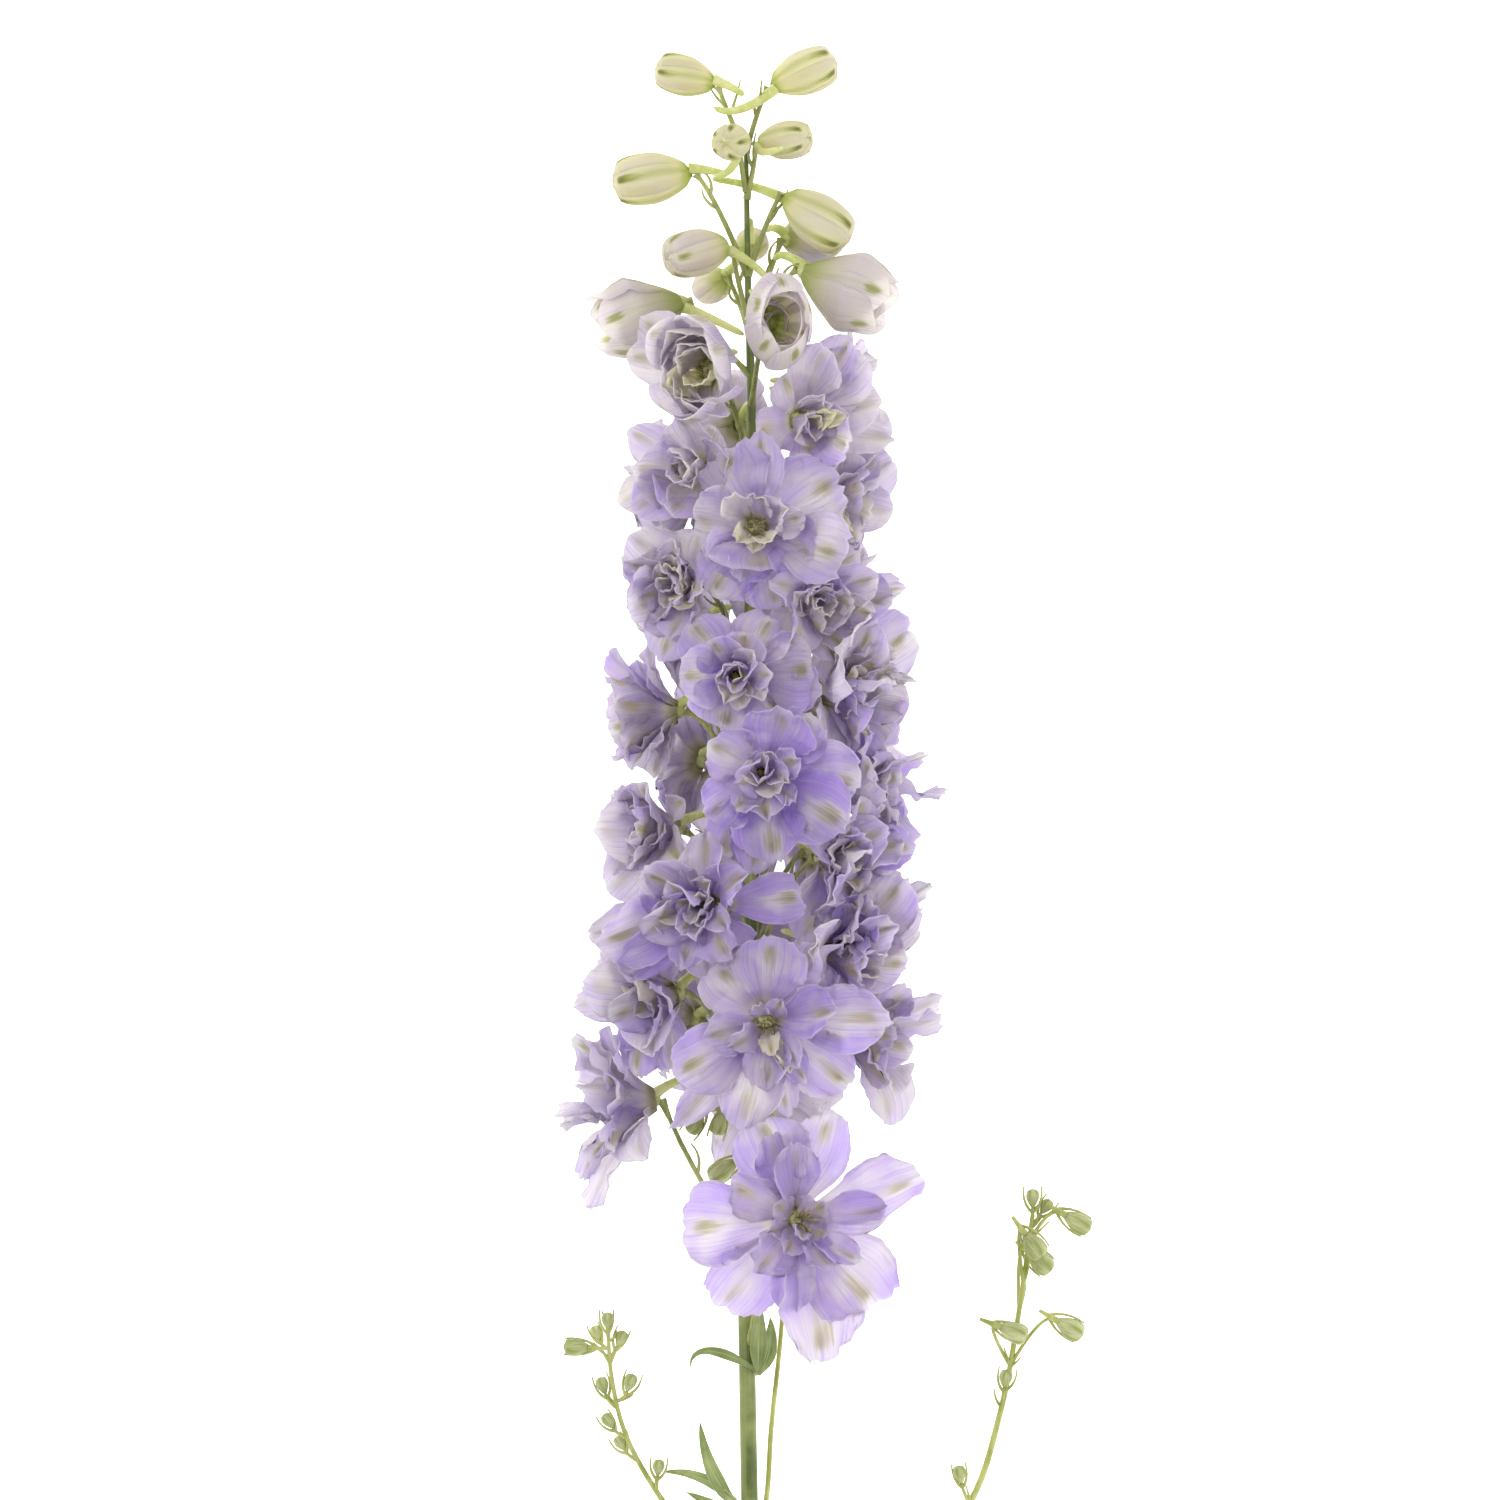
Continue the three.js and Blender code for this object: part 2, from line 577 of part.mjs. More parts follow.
// Leaf lobes: three points of each, and its width.
const LEAVES = [
  [[[82, -1, 0.5], [90, -11, 4], [104, -13, 2]], 3.6],
  [[[82, -1, 0], [94, -10, 0], [93, -22.5, -2]], 3],
  [[[81, -1, 0], [84, -9, -5], [87, -16.5, -9]], 2.6],
  [[[82, 0, 1.5], [86, -5, 7], [90.5, -8.5, 9]], 2.4],
  [[[117, 1.5, 1.2], [127, -6, 6.5], [122.5, -15, 7]], 4.2],
  [[[117, 1.5, 1.2], [125, 1, 6.5], [135, 1.2, 6]], 4.6],
  [[[117, 1.5, 1.2], [124, 6.5, 4.5], [134, 5, 3.5]], 4.2],
  [[[55, -1.5, 0], [60, -10, -4], [58, -19, -10]], 3.4],
  [[[55, -1.5, 0], [67, -6, 3], [74, -15, 2]], 3],
  [[[20, 1.5, 0], [22, 12, -3], [15, 24, -11]], 3.6],
  [[[20, 1.5, 0], [33, 6, 4], [44, 14, 5]], 3],
];

function stemSolid() {
  const length = STEM.at(-1)[0];
  const stem = rod(stemLine, STEM_STEPS, STEM_SIDES, (k) => stemValue(k * length, 2));
  const leaves = LEAVES.map(([points, wide]) => lobe(points.map((p) => beside(...p)), wide, vec(0, 0, 1)));
  return joined([stem, ...heads.map(pedicelSolid), ...leaves]);
}

// ---------------------------------------------------------------- side shoots

// Each side shoot: its line from beside the stem to its tip, its radius there and there, and its
// small buds. A bud has how far up its stalk leaves the shoot, its base, its way and its length.
// Places and ways are up the stem, to its right and above it.
const SHOOTS = [
  {
    name: "side_shoot_right",
    line: [[27, 4, 0], [52, 26, -1], [88, 57, -2], [108, 64.5, -2], [135, 70, -1], [160, 73.5, 0]],
    radius: [1.15, 0.6],
    buds: [
      [85, [90, 55, 1.5], [1, -0.2, 0.3], 4],
      [111, [115, 66, 2], [1, 0.15, 0.4], 4],
      [119, [130.5, 64, 4], [-0.1, 0.95, 0.25], 7.6],
      [120, [133, 79, 1], [-0.5, 0.85, 0.15], 7.6],
      [136, [150.5, 72, -5.5], [-0.65, 0.75, -0.2], 7.6],
      [146, [154.5, 74.5, 4], [-0.35, 0.85, 0.4], 7.6],
      [154, [160.5, 81, 0], [-0.5, 0.85, 0.1], 7.6],
      [158, [161.5, 73.5, 0.3], [1, 0, 0.1], 4],
      [156, [160, 75.5, -1.5], [0.8, 0.6, -0.2], 3.6],
    ],
  },
  {
    name: "side_shoot_left",
    line: [[61, -3.4, 0], [74, -14, -1], [86, -23, -1], [102, -32, 0], [118, -36, 1], [131, -37, 1]],
    radius: [0.9, 0.5],
    buds: [
      [88, [92, -24, 1.5], [1, 0.1, 0.3], 3.6],
      [96, [98.5, -32.5, -1.5], [0.8, -0.5, -0.3], 3.4],
      [102, [104.5, -35.5, 1.5], [0.8, -0.5, 0.3], 3.6],
      [109, [113, -37.5, -1], [0.9, -0.3, -0.2], 3.8],
      [111, [114, -32, 2.5], [0.9, 0.3, 0.3], 4],
      [121, [125.5, -41, 1.5], [0.05, -1, 0.2], 6.5],
      [122, [125.5, -34.6, 0.5], [0.9, 0.4, 0], 3.6],
      [128, [130, -37, 1], [1, 0, 0.1], 3.6],
      [125, [127, -39, -1.5], [0.9, -0.4, -0.3], 3.4],
    ],
  },
  {
    name: "side_shoot_middle",
    line: [[84, 4, -2.4], [104, 5.5, -4], [128, 8, -6], [156, 9.5, -8], [180, 9, -8], [187, 5, -8]],
    radius: [0.75, 0.5],
    buds: [
      [186, [186, -12, -8.5], [-0.8, -0.6, 0], 5],
      [186.5, [186.5, -7, -9], [-0.95, -0.3, 0.1], 5],
      [181, [174, -3, -8], [-0.55, -0.8, 0.1], 8],
    ],
  },
];

const STALK_RADIUS = 0.42;
const BUD_RINGS = [[0.02, 0.13], [0.5, 0.38], [0.88, 0.24]]; // place and radius, by the bud's length

// A side shoot's bud: a closed form on a thin bowed stalk, with its spur.
function shootBud(line, [leaves, base, way, length]) {
  const steps = Array.from({ length: 101 }, (_, k) => line.getPoint(k / 100));
  const start = steps.find((p) => p.y >= CUT_Y + leaves) ?? steps.at(-1);
  const foot = beside(...base);
  const facing = vec(way[1], way[0], way[2]).normalize();
  const along = (share) => foot.clone().addScaledVector(facing, length * share);
  const bow = new THREE.QuadraticBezierCurve3(start, along(-0.4), along(0.1));
  const side = vec(0, 0, 1).addScaledVector(facing, -facing.z).normalize();
  const other = facing.clone().cross(side);
  const ring = ([share, radius]) =>
    Array.from({ length: 5 }, (_, k) => {
      const turn = (k / 5) * 2 * Math.PI;
      return along(share)
        .addScaledVector(side, length * radius * Math.cos(turn))
        .addScaledVector(other, length * radius * Math.sin(turn));
    });
  const large = length > 5;
  const rings = (large ? BUD_RINGS : BUD_RINGS.slice(0, 2)).map(ring);
  const pieces = [rod(bow, 2, 3, () => STALK_RADIUS), loft([...rings, [along(1)]])];
  if (length > 7.5) {
    const spur = new THREE.LineCurve3(along(0.15), along(-0.5).addScaledVector(side, length * 0.32));
    pieces.push(rod(spur, 1, 3, (k) => length * lerp(0.13, 0.08, k)));
  }
  return pieces;
}

function shootSolid({ line, radius, buds: small }) {
  const curve = new THREE.CatmullRomCurve3(line.map((p) => beside(...p)));
  const stalk = rod(curve, 9, 5, (k) => lerp(...radius, k));
  return joined([stalk, ...small.flatMap((bud) => shootBud(curve, bud))]);
}

// ---------------------------------------------------------------- the whole spike

const COLOURS = {
  stem: { color: 0x7c8f4c, roughness: 0.55 },
  shoot: { color: 0xa3ad62, roughness: 0.55 },
  bud: { color: 0xdcdcc0, roughness: 0.5 },
  floret: { color: 0xb6a4dc, roughness: 0.55 },
};

const spike = new THREE.Group();

function add(name, whole, finish) {
  const material = new THREE.MeshStandardMaterial({ ...finish, metalness: 0 });
  const mesh = new THREE.Mesh(geometryOf(whole), material);
  mesh.name = name;
  spike.add(mesh);
}

for (const head of heads) head.room = roomOf(head);

add("stem", stemSolid(), COLOURS.stem);
for (const shoot of SHOOTS) add(shoot.name, shootSolid(shoot), COLOURS.shoot);
for (const head of flowers) {
  const whorls = Math.abs(head.round) > HIDDEN ? [SEPALS, PETALS] : [SEPALS, PETALS, HEART];
  add(head.name, flowerSolid(head, whorls), COLOURS.floret);
}
for (const head of opening) add(head.name, flowerSolid(head, [SEPALS, PETALS]), COLOURS.bud);
for (const head of buds) add(head.name, budSolid(head), COLOURS.bud);

export default spike;
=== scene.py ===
"""A cut delphinium spike with double, lavender flowers, lying on its back on a pale surface.

Shapes are worked out in millimetres. +Y runs up the stem, +Z is away from the surface.
"""

import math
from collections import namedtuple

import bpy
import numpy as np
from bpy.props import FloatProperty, FloatVectorProperty, PointerProperty
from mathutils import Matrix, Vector


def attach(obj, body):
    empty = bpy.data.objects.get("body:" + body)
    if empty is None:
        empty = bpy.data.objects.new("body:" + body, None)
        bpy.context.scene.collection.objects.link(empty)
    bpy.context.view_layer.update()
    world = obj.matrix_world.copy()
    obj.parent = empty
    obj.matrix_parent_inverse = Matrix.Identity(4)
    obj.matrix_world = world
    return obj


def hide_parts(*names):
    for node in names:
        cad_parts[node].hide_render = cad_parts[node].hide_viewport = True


bl_info = {
    "name": "Delphinium Spike",
    "version": (1, 0, 0),
    "blender": (4, 5, 0),
    "location": "View3D > Sidebar > Spike",
    "description": "Builds a cut delphinium spike flower by flower",
    "category": "Add Mesh",
}

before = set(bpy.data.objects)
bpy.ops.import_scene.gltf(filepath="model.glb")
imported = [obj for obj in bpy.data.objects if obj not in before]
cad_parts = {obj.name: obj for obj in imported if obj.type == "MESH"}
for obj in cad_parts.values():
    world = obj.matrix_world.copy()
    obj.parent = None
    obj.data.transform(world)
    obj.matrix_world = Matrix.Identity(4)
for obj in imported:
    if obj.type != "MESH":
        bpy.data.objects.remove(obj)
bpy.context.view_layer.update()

MM = 0.001

# Where the stem's line lies, and its cut end.
STEM_X = -19.0
STEM_Z = 31.0
CUT_Y = -231.0

# The camera looks down on the spike from this height above the stem, sees this width there, and
# has the cut end this far below the middle of its view.
CAMERA_HEIGHT = 2400.0
VIEW_WIDTH = 390.0
CUT_BELOW_MIDDLE = 280.8

# The stem: distance up from the cut end, sideways wander, radius.
STEM = [
    (0, 0.3, 2.35), (60, 0.3, 2.25), (135, -1, 2.15), (190, 0, 2.0), (234, 0.6, 1.85), (312, 0, 1.55),
    (372, 0.4, 1.15), (405, -0.6, 0.85), (441, -1.1, 0.6),
]

# Open flowers: distance up the stem, degrees round it from straight up, reach from the stem,
# length of the outer sepals, how open (0 shut, 1 flat), and degrees that it looks up. For one of
# them also where its pedicel starts and the point that it bows towards.
FLOWERS = [
    (160, 23, 27, 35, 1.0, 0), (190, -88, 23, 26, 0.85, -8, 150, (171, -15.5, 0)),
    (192, 172, 16, 26, 0.8, 0), (207, 84, 19, 27, 0.75, -12), (210, -132, 17, 26, 0.8, 0),
    (212, 8, 24, 28, 0.95, -12), (218, -60, 20, 26, 0.8, -15), (222, 132, 17, 26, 0.8, 0),
    (228, 54, 20, 27, 0.9, -5), (229, 178, 16, 26, 0.85, 0), (241, -25, 20, 27, 0.85, 0),
    (244, -128, 17, 26, 0.85, 0), (253, 48, 22, 26, 0.85, 0), (254, 128, 17, 26, 0.85, 0),
    (260, -68, 19, 25, 0.7, 0), (264, -176, 16, 26, 0.85, 0), (271, 88, 20, 27, 0.85, 5),
    (275, 5, 23, 27, 0.95, 0), (278, -138, 17, 26, 0.85, 0), (287, 131, 17, 26, 0.85, 0),
    (291, -92, 17, 30, 0.6, -5), (296, 65, 19, 26, 0.8, 0), (298, 177, 16, 26, 0.85, 0),
    (300, -8, 22, 24, 0.72, 0), (313, -130, 17, 25, 0.85, 0), (318, 106, 18, 25, 0.8, 0),
    (320, 36, 19, 26, 0.85, -10), (324, -42, 19, 24, 0.8, -5), (334, 170, 16, 25, 0.85, 0),
    (338, 3, 23, 24, 1.0, 0), (346, -122, 16, 23, 0.8, 0), (347, 76, 18, 22, 0.8, -15),
    (353, -38, 19, 20, 0.55, 0), (366, -172, 15, 22, 0.5, 0), (367, 34, 18, 24, 0.75, -15),
    (372, 105, 16, 22, 0.7, 0), (379, -31, 18, 20, 0.42, 0),
]

# Half-open flowers, and for each where its pedicel starts, the points that its pedicel and its
# spur bow towards, and the spur's tip. Points are up the stem, to its right and above it.
OPENING = [
    (391, 15, 17, 21, 0.24, 0, 370, (384, 2, 9), (398, 3, 10), (400, 0, 5)),
    (397.8, -80, 16, 26, 0.2, -19, 378, (389.5, -11, -1.5), (393, -10, 3.4), (388.6, -1.6, 4)),
    (405.6, 80, 13, 27, 0.22, -22, 392, (402, 7, 0), (411.5, 8, -1), (408.5, 6.5, -3.5)),
    (414, 132, 12, 18.5, 0.35, 6, 392, (404, 5, -6), (418, 6, -7), (416, 4, -4)),
]

# Closed buds, in the same terms.
BUDS = [
    (404, -152, 11, 15, 0, -10, 388, (398, -2.5, -5.5), (408, -3, -6.5), (409, -3, -3.5)),
    (412, 176, 8.5, 14.5, 0, 8, 396, (406, -0.6, -4.5), (417, 0, -6.5), (419, 0, -3)),
    (411.8, -60, 4.8, 20, 0, -11, 391, (403, -3.4, 1.6), (408, 0, 5.4), (403, 4.7, 5)),
    (425.6, 82, 9.2, 22, 0, -36, 404, (420.5, 4.9, 0), (428.8, 0, -5), (429.4, -9.8, -3.4)),
    (430.6, -88, 13.2, 22, 0, -6, 404, (426, -9.5, 0), (431.8, -10, 0.6), (430.2, -5.8, 1)),
    (438.5, 60, 3.0, 16.3, 0, 3, 424, (433, 1.4, 1), (434.5, 1.5, 8), (436.5, 8.5, 12.5)),
    (438.8, -16, 4.6, 15.5, 0, -5, 426, (434.5, -3, 1.6), (430.4, -3.5, 3.2), (429.5, -9.4, 4)),
    (453.2, 85, 5.8, 19.2, 0, 21, 436, (446.5, 1.6, 0), (444.2, -3.6, 3.8), (447.6, -9.4, 4.2)),
    (453.4, -88, 7.2, 17.2, 0, 17, 436, (446.7, -6, 0), (453.4, -4.8, 1), (451, -1.6, 1.4)),
]

# Whorls from the outside in. Lean is the angle from the flower's axis at the petal's root and
# end the angle at its tip, each when shut and when flat open, loose is how much they vary, and
# deep is how deep their colour is.
Whorl = namedtuple("Whorl", "count long wide claw high root lean end loose cup fold ruffle deep")
WHORLS = [
    Whorl(5, 1.03, 0.95, 0.24, 1.5, 2.7, (55, 56), (-55, 92), 20, (62, 16), 0.3, 0.11, 0.2),
    Whorl(5, 0.95, 0.9, 0.24, 2.1, 2.4, (50, 50), (-55, 84), 24, (62, 24), 0.4, 0.13, 0.4),
    Whorl(5, 0.7, 0.7, 0.28, 3.0, 2.0, (40, 38), (-52, 74), 30, (62, 44), 0.6, 0.16, 0.6),
    Whorl(5, 0.5, 0.6, 0.3, 3.8, 1.6, (34, 26), (-50, 60), 30, (62, 60), 0.7, 0.16, 0.6),
    Whorl(4, 0.36, 0.5, 0.34, 4.4, 1.2, (28, 10), (-50, 38), 30, (62, 70), 0.6, 0.12, 0.5),
]

# Flowers whose petals are placed one by one. A petal has its tip's place from the flower's seat
# (to the right, up the stem and towards the viewer), its width, how many degrees it bends on the
# way (less than none is inwards), how much it is cupped, and how deep its colour is (less than
# none is creamy). On petals that lie in shade deep inside a flower, that depth is partly painted
# shade.
POSED = {
    "floret_01": [
        (-8, 26, 1, 19, 25, 22, 0.67), (10, 28, 1, 16, 25, 20, 0.57), (34, 10, 4, 17, 25, 50, 0.67),
        (22, -22, 0, 23, 30, 18, 0.72), (9, -36, 1, 22, 25, 20, 0.52), (-20, -23, -1, 19, 30, 22, 0.62),
        (-29, -1, 4, 21, 25, 26, 0.77), (-6, 22, 9, 12, 35, 50, 0.9), (2, 20, 11, 12, 25, 60, 0.9),
        (-15, 10, 8, 13, 35, 40, 0.57), (24, 3, 9, 11, 30, 50, 0.62), (17, -11, 6, 8, 40, 60, 0.72),
        (9, -13, 8, 8, 40, 70, 0.82), (-8, -13, 9, 12, 45, 40, 0.9), (0, -23, 6, 11, 35, 30, 0.72),
        (9, 5, 6, 10, 30, 40, 0.82), (9, -4, 6, 10, 30, 40, 0.82), (-1, -8, 10, 8, 30, 70, 0.9),
        (-6, -4, 11, 7, 20, 80, 0.9), (4, -4, 11, 6, 20, 80, 0.9), (-3, 5, 9, 6, 20, 80, 0.9),
    ],
    "floret_02": [
        (-21, 17, 0, 13, 30, 30, 0.4), (-20, 11, -5, 12, 30, 30, 0.3), (-27, -5, 2, 13, 20, 30, 0.05),
        (-17, -28, 0, 12, 40, 26, 0.05), (-21, -20, -4, 8, 40, 40, 0.5), (-12, 19, 10, 14, 40, 26, 0.6),
        (-4, -15, 10, 15, 60, 22, 0.2), (-25, -7, 4, 12, 20, 40, 0.4), (-18, -16, 4, 9, 40, 50, 0.6),
        (-14, -10, 12, 9, 40, 50, 0.9), (-21, 4, 9, 13, -40, 50, 0.25), (-20, -3, 10, 9, -30, 50, 0.3),
    ],
    "floret_04": [
        (29, 9, -2, 9, 10, 30, 0.1), (20, 12, 2, 14, 30, 26, 0.6), (17, -23, 2, 16, 60, 20, 0.02),
        (-4, -20, -8, 7, 60, 30, 0.02), (18, -15, 8, 16, 50, 20, 0.1), (0, -12, 10, 15, 70, 24, 0.5),
        (29, 4, 6, 15, 15, 30, 0.2), (22, -2, 8, 13, 20, 40, 0.5),
    ],
    "floret_06": [
        (31, 1, 3, 17, 25, 22, 0.5), (22, -17, 0, 16, 30, 20, 0.4), (-13, 14, 0, 17, 30, 24, 0.5),
        (-23, -27, 0, 9, 35, 30, 0.35), (12, 19, 4, 12, 30, 24, 0.3), (5, -25, 3, 9, 35, 40, 0.5),
        (-5, -28, 4, 16, 35, 24, 0.35), (-23, -14, 6, 18, 30, 26, 0.6), (2, 21, 7, 19, 30, 26, 0.5),
        (-15, -5, 9, 12, 30, 40, 0.7), (18, 2, 9, 14, 20, 60, 0.8), (1, -18, 6, 12, 40, 40, 0.5),
        (11, -16, 5, 8, 40, 50, 0.4), (-8, -8, 9, 8, 30, 60, 0.2), (2, -9, 10, 5, 20, 60, -1.0),
        (9, -12, 8, 8, 30, 60, 0.2), (6, -14, 8, 4, 30, 60, -1.0), (-3, 4, 9, 6, 20, 80, 0.8),
        (5, 4, 9, 6, 20, 80, 0.8),
    ],
    "floret_07": [
        (-30, -3, -2, 10, 10, 30, 0.1), (-20, 12, 2, 16, 20, 24, 0.5), (-14, -21, 2, 13, 40, 26, 0.5),
        (0, -19, 4, 15, 60, 24, 0.6), (-6, 14, 6, 15, 40, 24, 0.5), (-26, 2, 8, 18, 15, 24, 0.05),
        (-8, -16, 10, 16, 50, 30, 0.02), (-18, -6, 9, 12, 20, 40, 0.3),
    ],
    "floret_09": [
        (28, 18, -6, 9, 10, 30, 0.1), (26, 12, 0, 16, 20, 26, 0.4), (27, 6, -2, 10, 10, 30, 0.05),
        (9, -10, 8, 17, 60, 24, 0.5), (24, -4, 2, 15, 20, 26, 0.3), (21, 19, 6, 19, 30, 26, 0.6),
        (5, 14, 10, 15, 50, 30, 0.8), (12, 15, 10, 14, 30, 40, 1.0), (20, 8, 12, 11, 10, 50, 0.3),
        (12, -2, 14, 14, 30, 40, 0.7), (17, 1, 12, 10, 10, 50, 0.4),
    ],
    "floret_11": [
        (-32, -8, -4, 13, 15, 24, 0.1), (-30, -10, 4, 17, 20, 24, 0.5), (-23, -18, 2, 12, 30, 30, 0.9),
        (27, 2, 4, 13, 40, 40, 0.9), (8, -14, 4, 12, 50, 30, 0.8), (0, -18, 2, 15, 50, 24, 0.7),
        (2, 13, 6, 15, 40, 26, 0.7), (-18, 8, 8, 17, 30, 26, 0.5), (-8, -16, 7, 12, 40, 40, 0.6),
        (-16, -3, 10, 12, 20, 50, 0.6), (-4, -5, 13, 10, 10, 60, 0.3), (-9, -7, 12, 8, 10, 60, 0.5),
    ],
    "floret_13": [
        (25, 4, -2, 12, 20, 30, 0.9), (18, 7, 6, 14, 20, 30, 0.3), (13, 6, 10, 12, 30, 50, 0.6),
        (-4, -22, 9, 15, 60, 26, 0.3), (-7, -14, 10, 10, 60, 50, 0.6), (10, -12, 8, 15, 50, 26, 0.7),
        (14, 1, 14, 10, 10, 60, 0.1), (3, -4, 13, 9, 20, 60, 0.6),
    ],
    "floret_15": [
        (-18, 8, -2, 14, 20, 26, 0.1), (-19, -17, 0, 15, 20, 22, 0.02), (-22, -1, 4, 17, 10, 24, 0.1),
        (2, 9, 8, 9, 50, 40, 0.5), (-10, 12, 12, 15, 20, 50, 0.3), (0, -7, 12, 11, 40, 50, 0.2),
        (-14, -3, 10, 9, 10, 50, 0.1), (-5, 1, 12, 9, -20, 80, 0.9), (-8, -5, 11, 9, 10, 70, 0.7),
        (-3, -9, 8, 12, 50, 30, 0.4),
    ],
    "floret_17": [
        (30, -2, 2, 9, 10, 50, 0.2), (20, -14, 0, 12, 30, 30, 0.9), (24, 9, 4, 17, 20, 26, 0.6),
        (25, -14, 6, 13, 20, 30, 0.2), (6, -14, 8, 14, 60, 26, 0.6), (4, 12, 9, 14, 50, 26, 0.6),
        (18, 4, 9, 14, 10, 40, 0.5), (17, -7, 10, 12, 10, 50, 0.5), (13, -4, 12, 9, 10, 60, 0.2),
    ],
    "floret_18": [
        (25, -4, 2, 21, 30, 20, 0.5), (-11, -22, 0, 15, 35, 24, 0.5), (-2, -26, 0, 14, 35, 24, 0.7),
        (14, 14, 3, 15, 30, 24, 0.5), (22, -14, 6, 19, 20, 30, 0.9), (3, -23, 5, 18, 30, 22, 0.9),
        (-14, -11, 6, 14, 40, 30, 0.6), (-13, 8, 8, 15, 50, 30, 0.5), (7, 16, 8, 19, 20, 30, 0.6),
        (-7, -9, 10, 10, 30, 60, 0.2), (0, -12, 9, 10, 30, 60, 0.4), (-5, -3, 13, 10, 40, 80, 0.5),
        (10, 3, 11, 10, 20, 70, 0.4), (4, -5, 12, 8, 10, 70, -0.4), (9, -7, 10, 8, 20, 70, 0.6),
        (2, 6, 11, 8, 10, 80, 0.5),
    ],
    "floret_21": [
        (-18, -9, -6, 12, 20, 24, 0.1), (-19, 5, -6, 13, 20, 24, 0.2), (-9, 17, -2, 12, 30, 24, 0.1),
        (-19, -6, 4, 9, 20, 30, 0.2), (-20, 16, 4, 12, 20, 40, 0.6), (-13, 13, 8, 10, 25, 30, 0.7),
        (-5, -13, 2, 7, 20, 24, 0.05), (-9, -17, 3, 12, 20, 20, 0.2), (-21, -5, 8, 17, 20, 14, 0.35),
        (-15, -16, 6, 18, 25, 14, 0.45),
    ],
    "floret_22": [
        (26, -16, 0, 17, 20, 24, 0.6), (26, -5, -3, 12, 10, 30, 0.1), (26, 3, -1, 4, -60, 60, 0.2),
        (21, 9, 0, 4, -50, 60, 0.2), (6, -20, 4, 15, 50, 24, 0.6), (14, 17, 8, 12, 30, 40, 0.4),
        (3, 12, 10, 14, 50, 30, 0.6), (11, -8, 12, 12, 20, 50, 0.6), (20, 3, 12, 11, 5, 50, 0.3),
        (15, -13, 9, 6, 20, 60, -0.7), (14, -4, 12, 8, 5, 60, 0.4),
    ],
    "floret_24": [
        (21, -4, -2, 15, 30, 24, 0.6), (19, 2, 2, 20, 30, 20, 0.3), (12, -10, 2, 17, 35, 24, 0.5),
        (-12, 14, 1, 15, 35, 24, 0.4), (9, 15, 2, 15, 35, 24, 0.4), (-10, -11, 4, 14, 40, 30, 0.3),
        (-15, -1, 8, 16, 40, 30, 0.2), (-3, -14, 5, 20, 40, 26, 0.2), (-7, 9, 9, 13, 20, 50, 0.4),
        (2, 11, 8, 13, 20, 50, 0.3), (8, 0, 12, 8, 5, 70, 0.4), (4, 5, 13, 9, -10, 80, 0.3),
        (-4, 2, 14, 10, -20, 80, 0.2), (-3, -7, 11, 8, 5, 70, -0.5), (2, -8, 11, 7, 5, 70, -0.4),
        (7, -6, 11, 7, 5, 70, -0.3),
    ],
    "floret_27": [
        (29, 2, -2, 9, 10, 30, 0.4), (26, -1, 0, 15, 20, 26, 0.9), (21, 6, 6, 12, 20, 30, 0.4),
        (11, -17, 4, 17, 40, 24, 0.8), (0, 13, 6, 14, 40, 26, 0.6), (-5, -11, 5, 12, 60, 30, 0.4),
        (15, -3, 8, 14, 20, 40, 0.5), (9, 4, 10, 7, 10, 60, 0.5), (3, 1, 12, 7, 10, 80, 0.4),
        (6, -4, 12, 6, 10, 80, -0.5), (-1, -3, 12, 5, 20, 80, -0.7),
    ],
    "floret_28": [
        (-8, -20, 3, 14, 40, 22, 0.5), (-1, -15, 5, 14, 50, 24, 0.3), (-17, 12, 5, 18, 20, 22, 0.1),
        (-16, 3, 3, 15, 20, 22, 0.02), (-17, -8, 6, 18, 20, 22, 0.02), (3, 12, 8, 14, 50, 26, 0.3),
        (-5, 8, 12, 9, 10, 60, 0.3), (-8, 4, 11, 8, 5, 60, -0.7), (-2, 1, 13, 9, -10, 80, -0.2),
        (-5, -4, 12, 7, 5, 70, -0.8), (-2, -6, 12, 7, 5, 70, -0.9), (2, -3, 12, 8, 10, 70, 0.3),
    ],
    "floret_30": [
        (-7, 20, 0, 18, 30, 18, 0.3), (2, 24, 2, 13, 30, 22, 0.3), (21, 13, 0, 21, 30, 18, 0.3),
        (4, -21, -2, 15, 30, 22, 0.9), (-12, -17, 0, 16, 30, 22, 0.6), (22, -8, 3, 18, 30, 22, 0.3),
        (-16, 2, 5, 18, 35, 22, 0.1), (-12, -9, 3, 15, 35, 24, 0.5), (14, -7, 4, 16, 35, 26, 0.8),
        (-4, -14, 4, 12, 40, 26, 0.5), (1, -11, 7, 23, 40, 22, 0.4), (12, 3, 8, 9, 30, 50, 0.3),
        (7, 4, 12, 10, -60, 60, 0.2), (2, 8, 11, 9, -60, 70, 0.15), (-6, 8, 12, 9, -60, 70, -0.3),
        (-4, -4, 11, 6, 10, 60, -1.0), (4, -4, 11, 6, 10, 60, -1.0), (0, -6, 9, 5, 20, 60, -0.7),
    ],
    "floret_32": [
        (20, 9, -2, 15, 10, 24, 0.02), (20, -5, 3, 12, 10, 30, 0.2), (6, 12, 8, 13, 40, 30, 0.3),
        (10, -12, 4, 13, 30, 30, 0.4), (16, 3, 10, 11, 5, 50, 0.1), (10, 6, 12, 11, 5, 50, 0.3),
        (5, -4, 12, 11, 20, 50, 0.5), (15, -5, 8, 9, 5, 50, -0.5), (10, -9, 12, 5, 10, 50, -1.0),
        (8, -4, 11, 6, 5, 60, -0.8),
    ],
    "floret_33": [
        (-22, -9, -2, 11, 10, 30, -0.3), (-19, 10, -2, 11, 20, 30, 0.4), (-19, -11, 2, 13, 20, 30, 0.9),
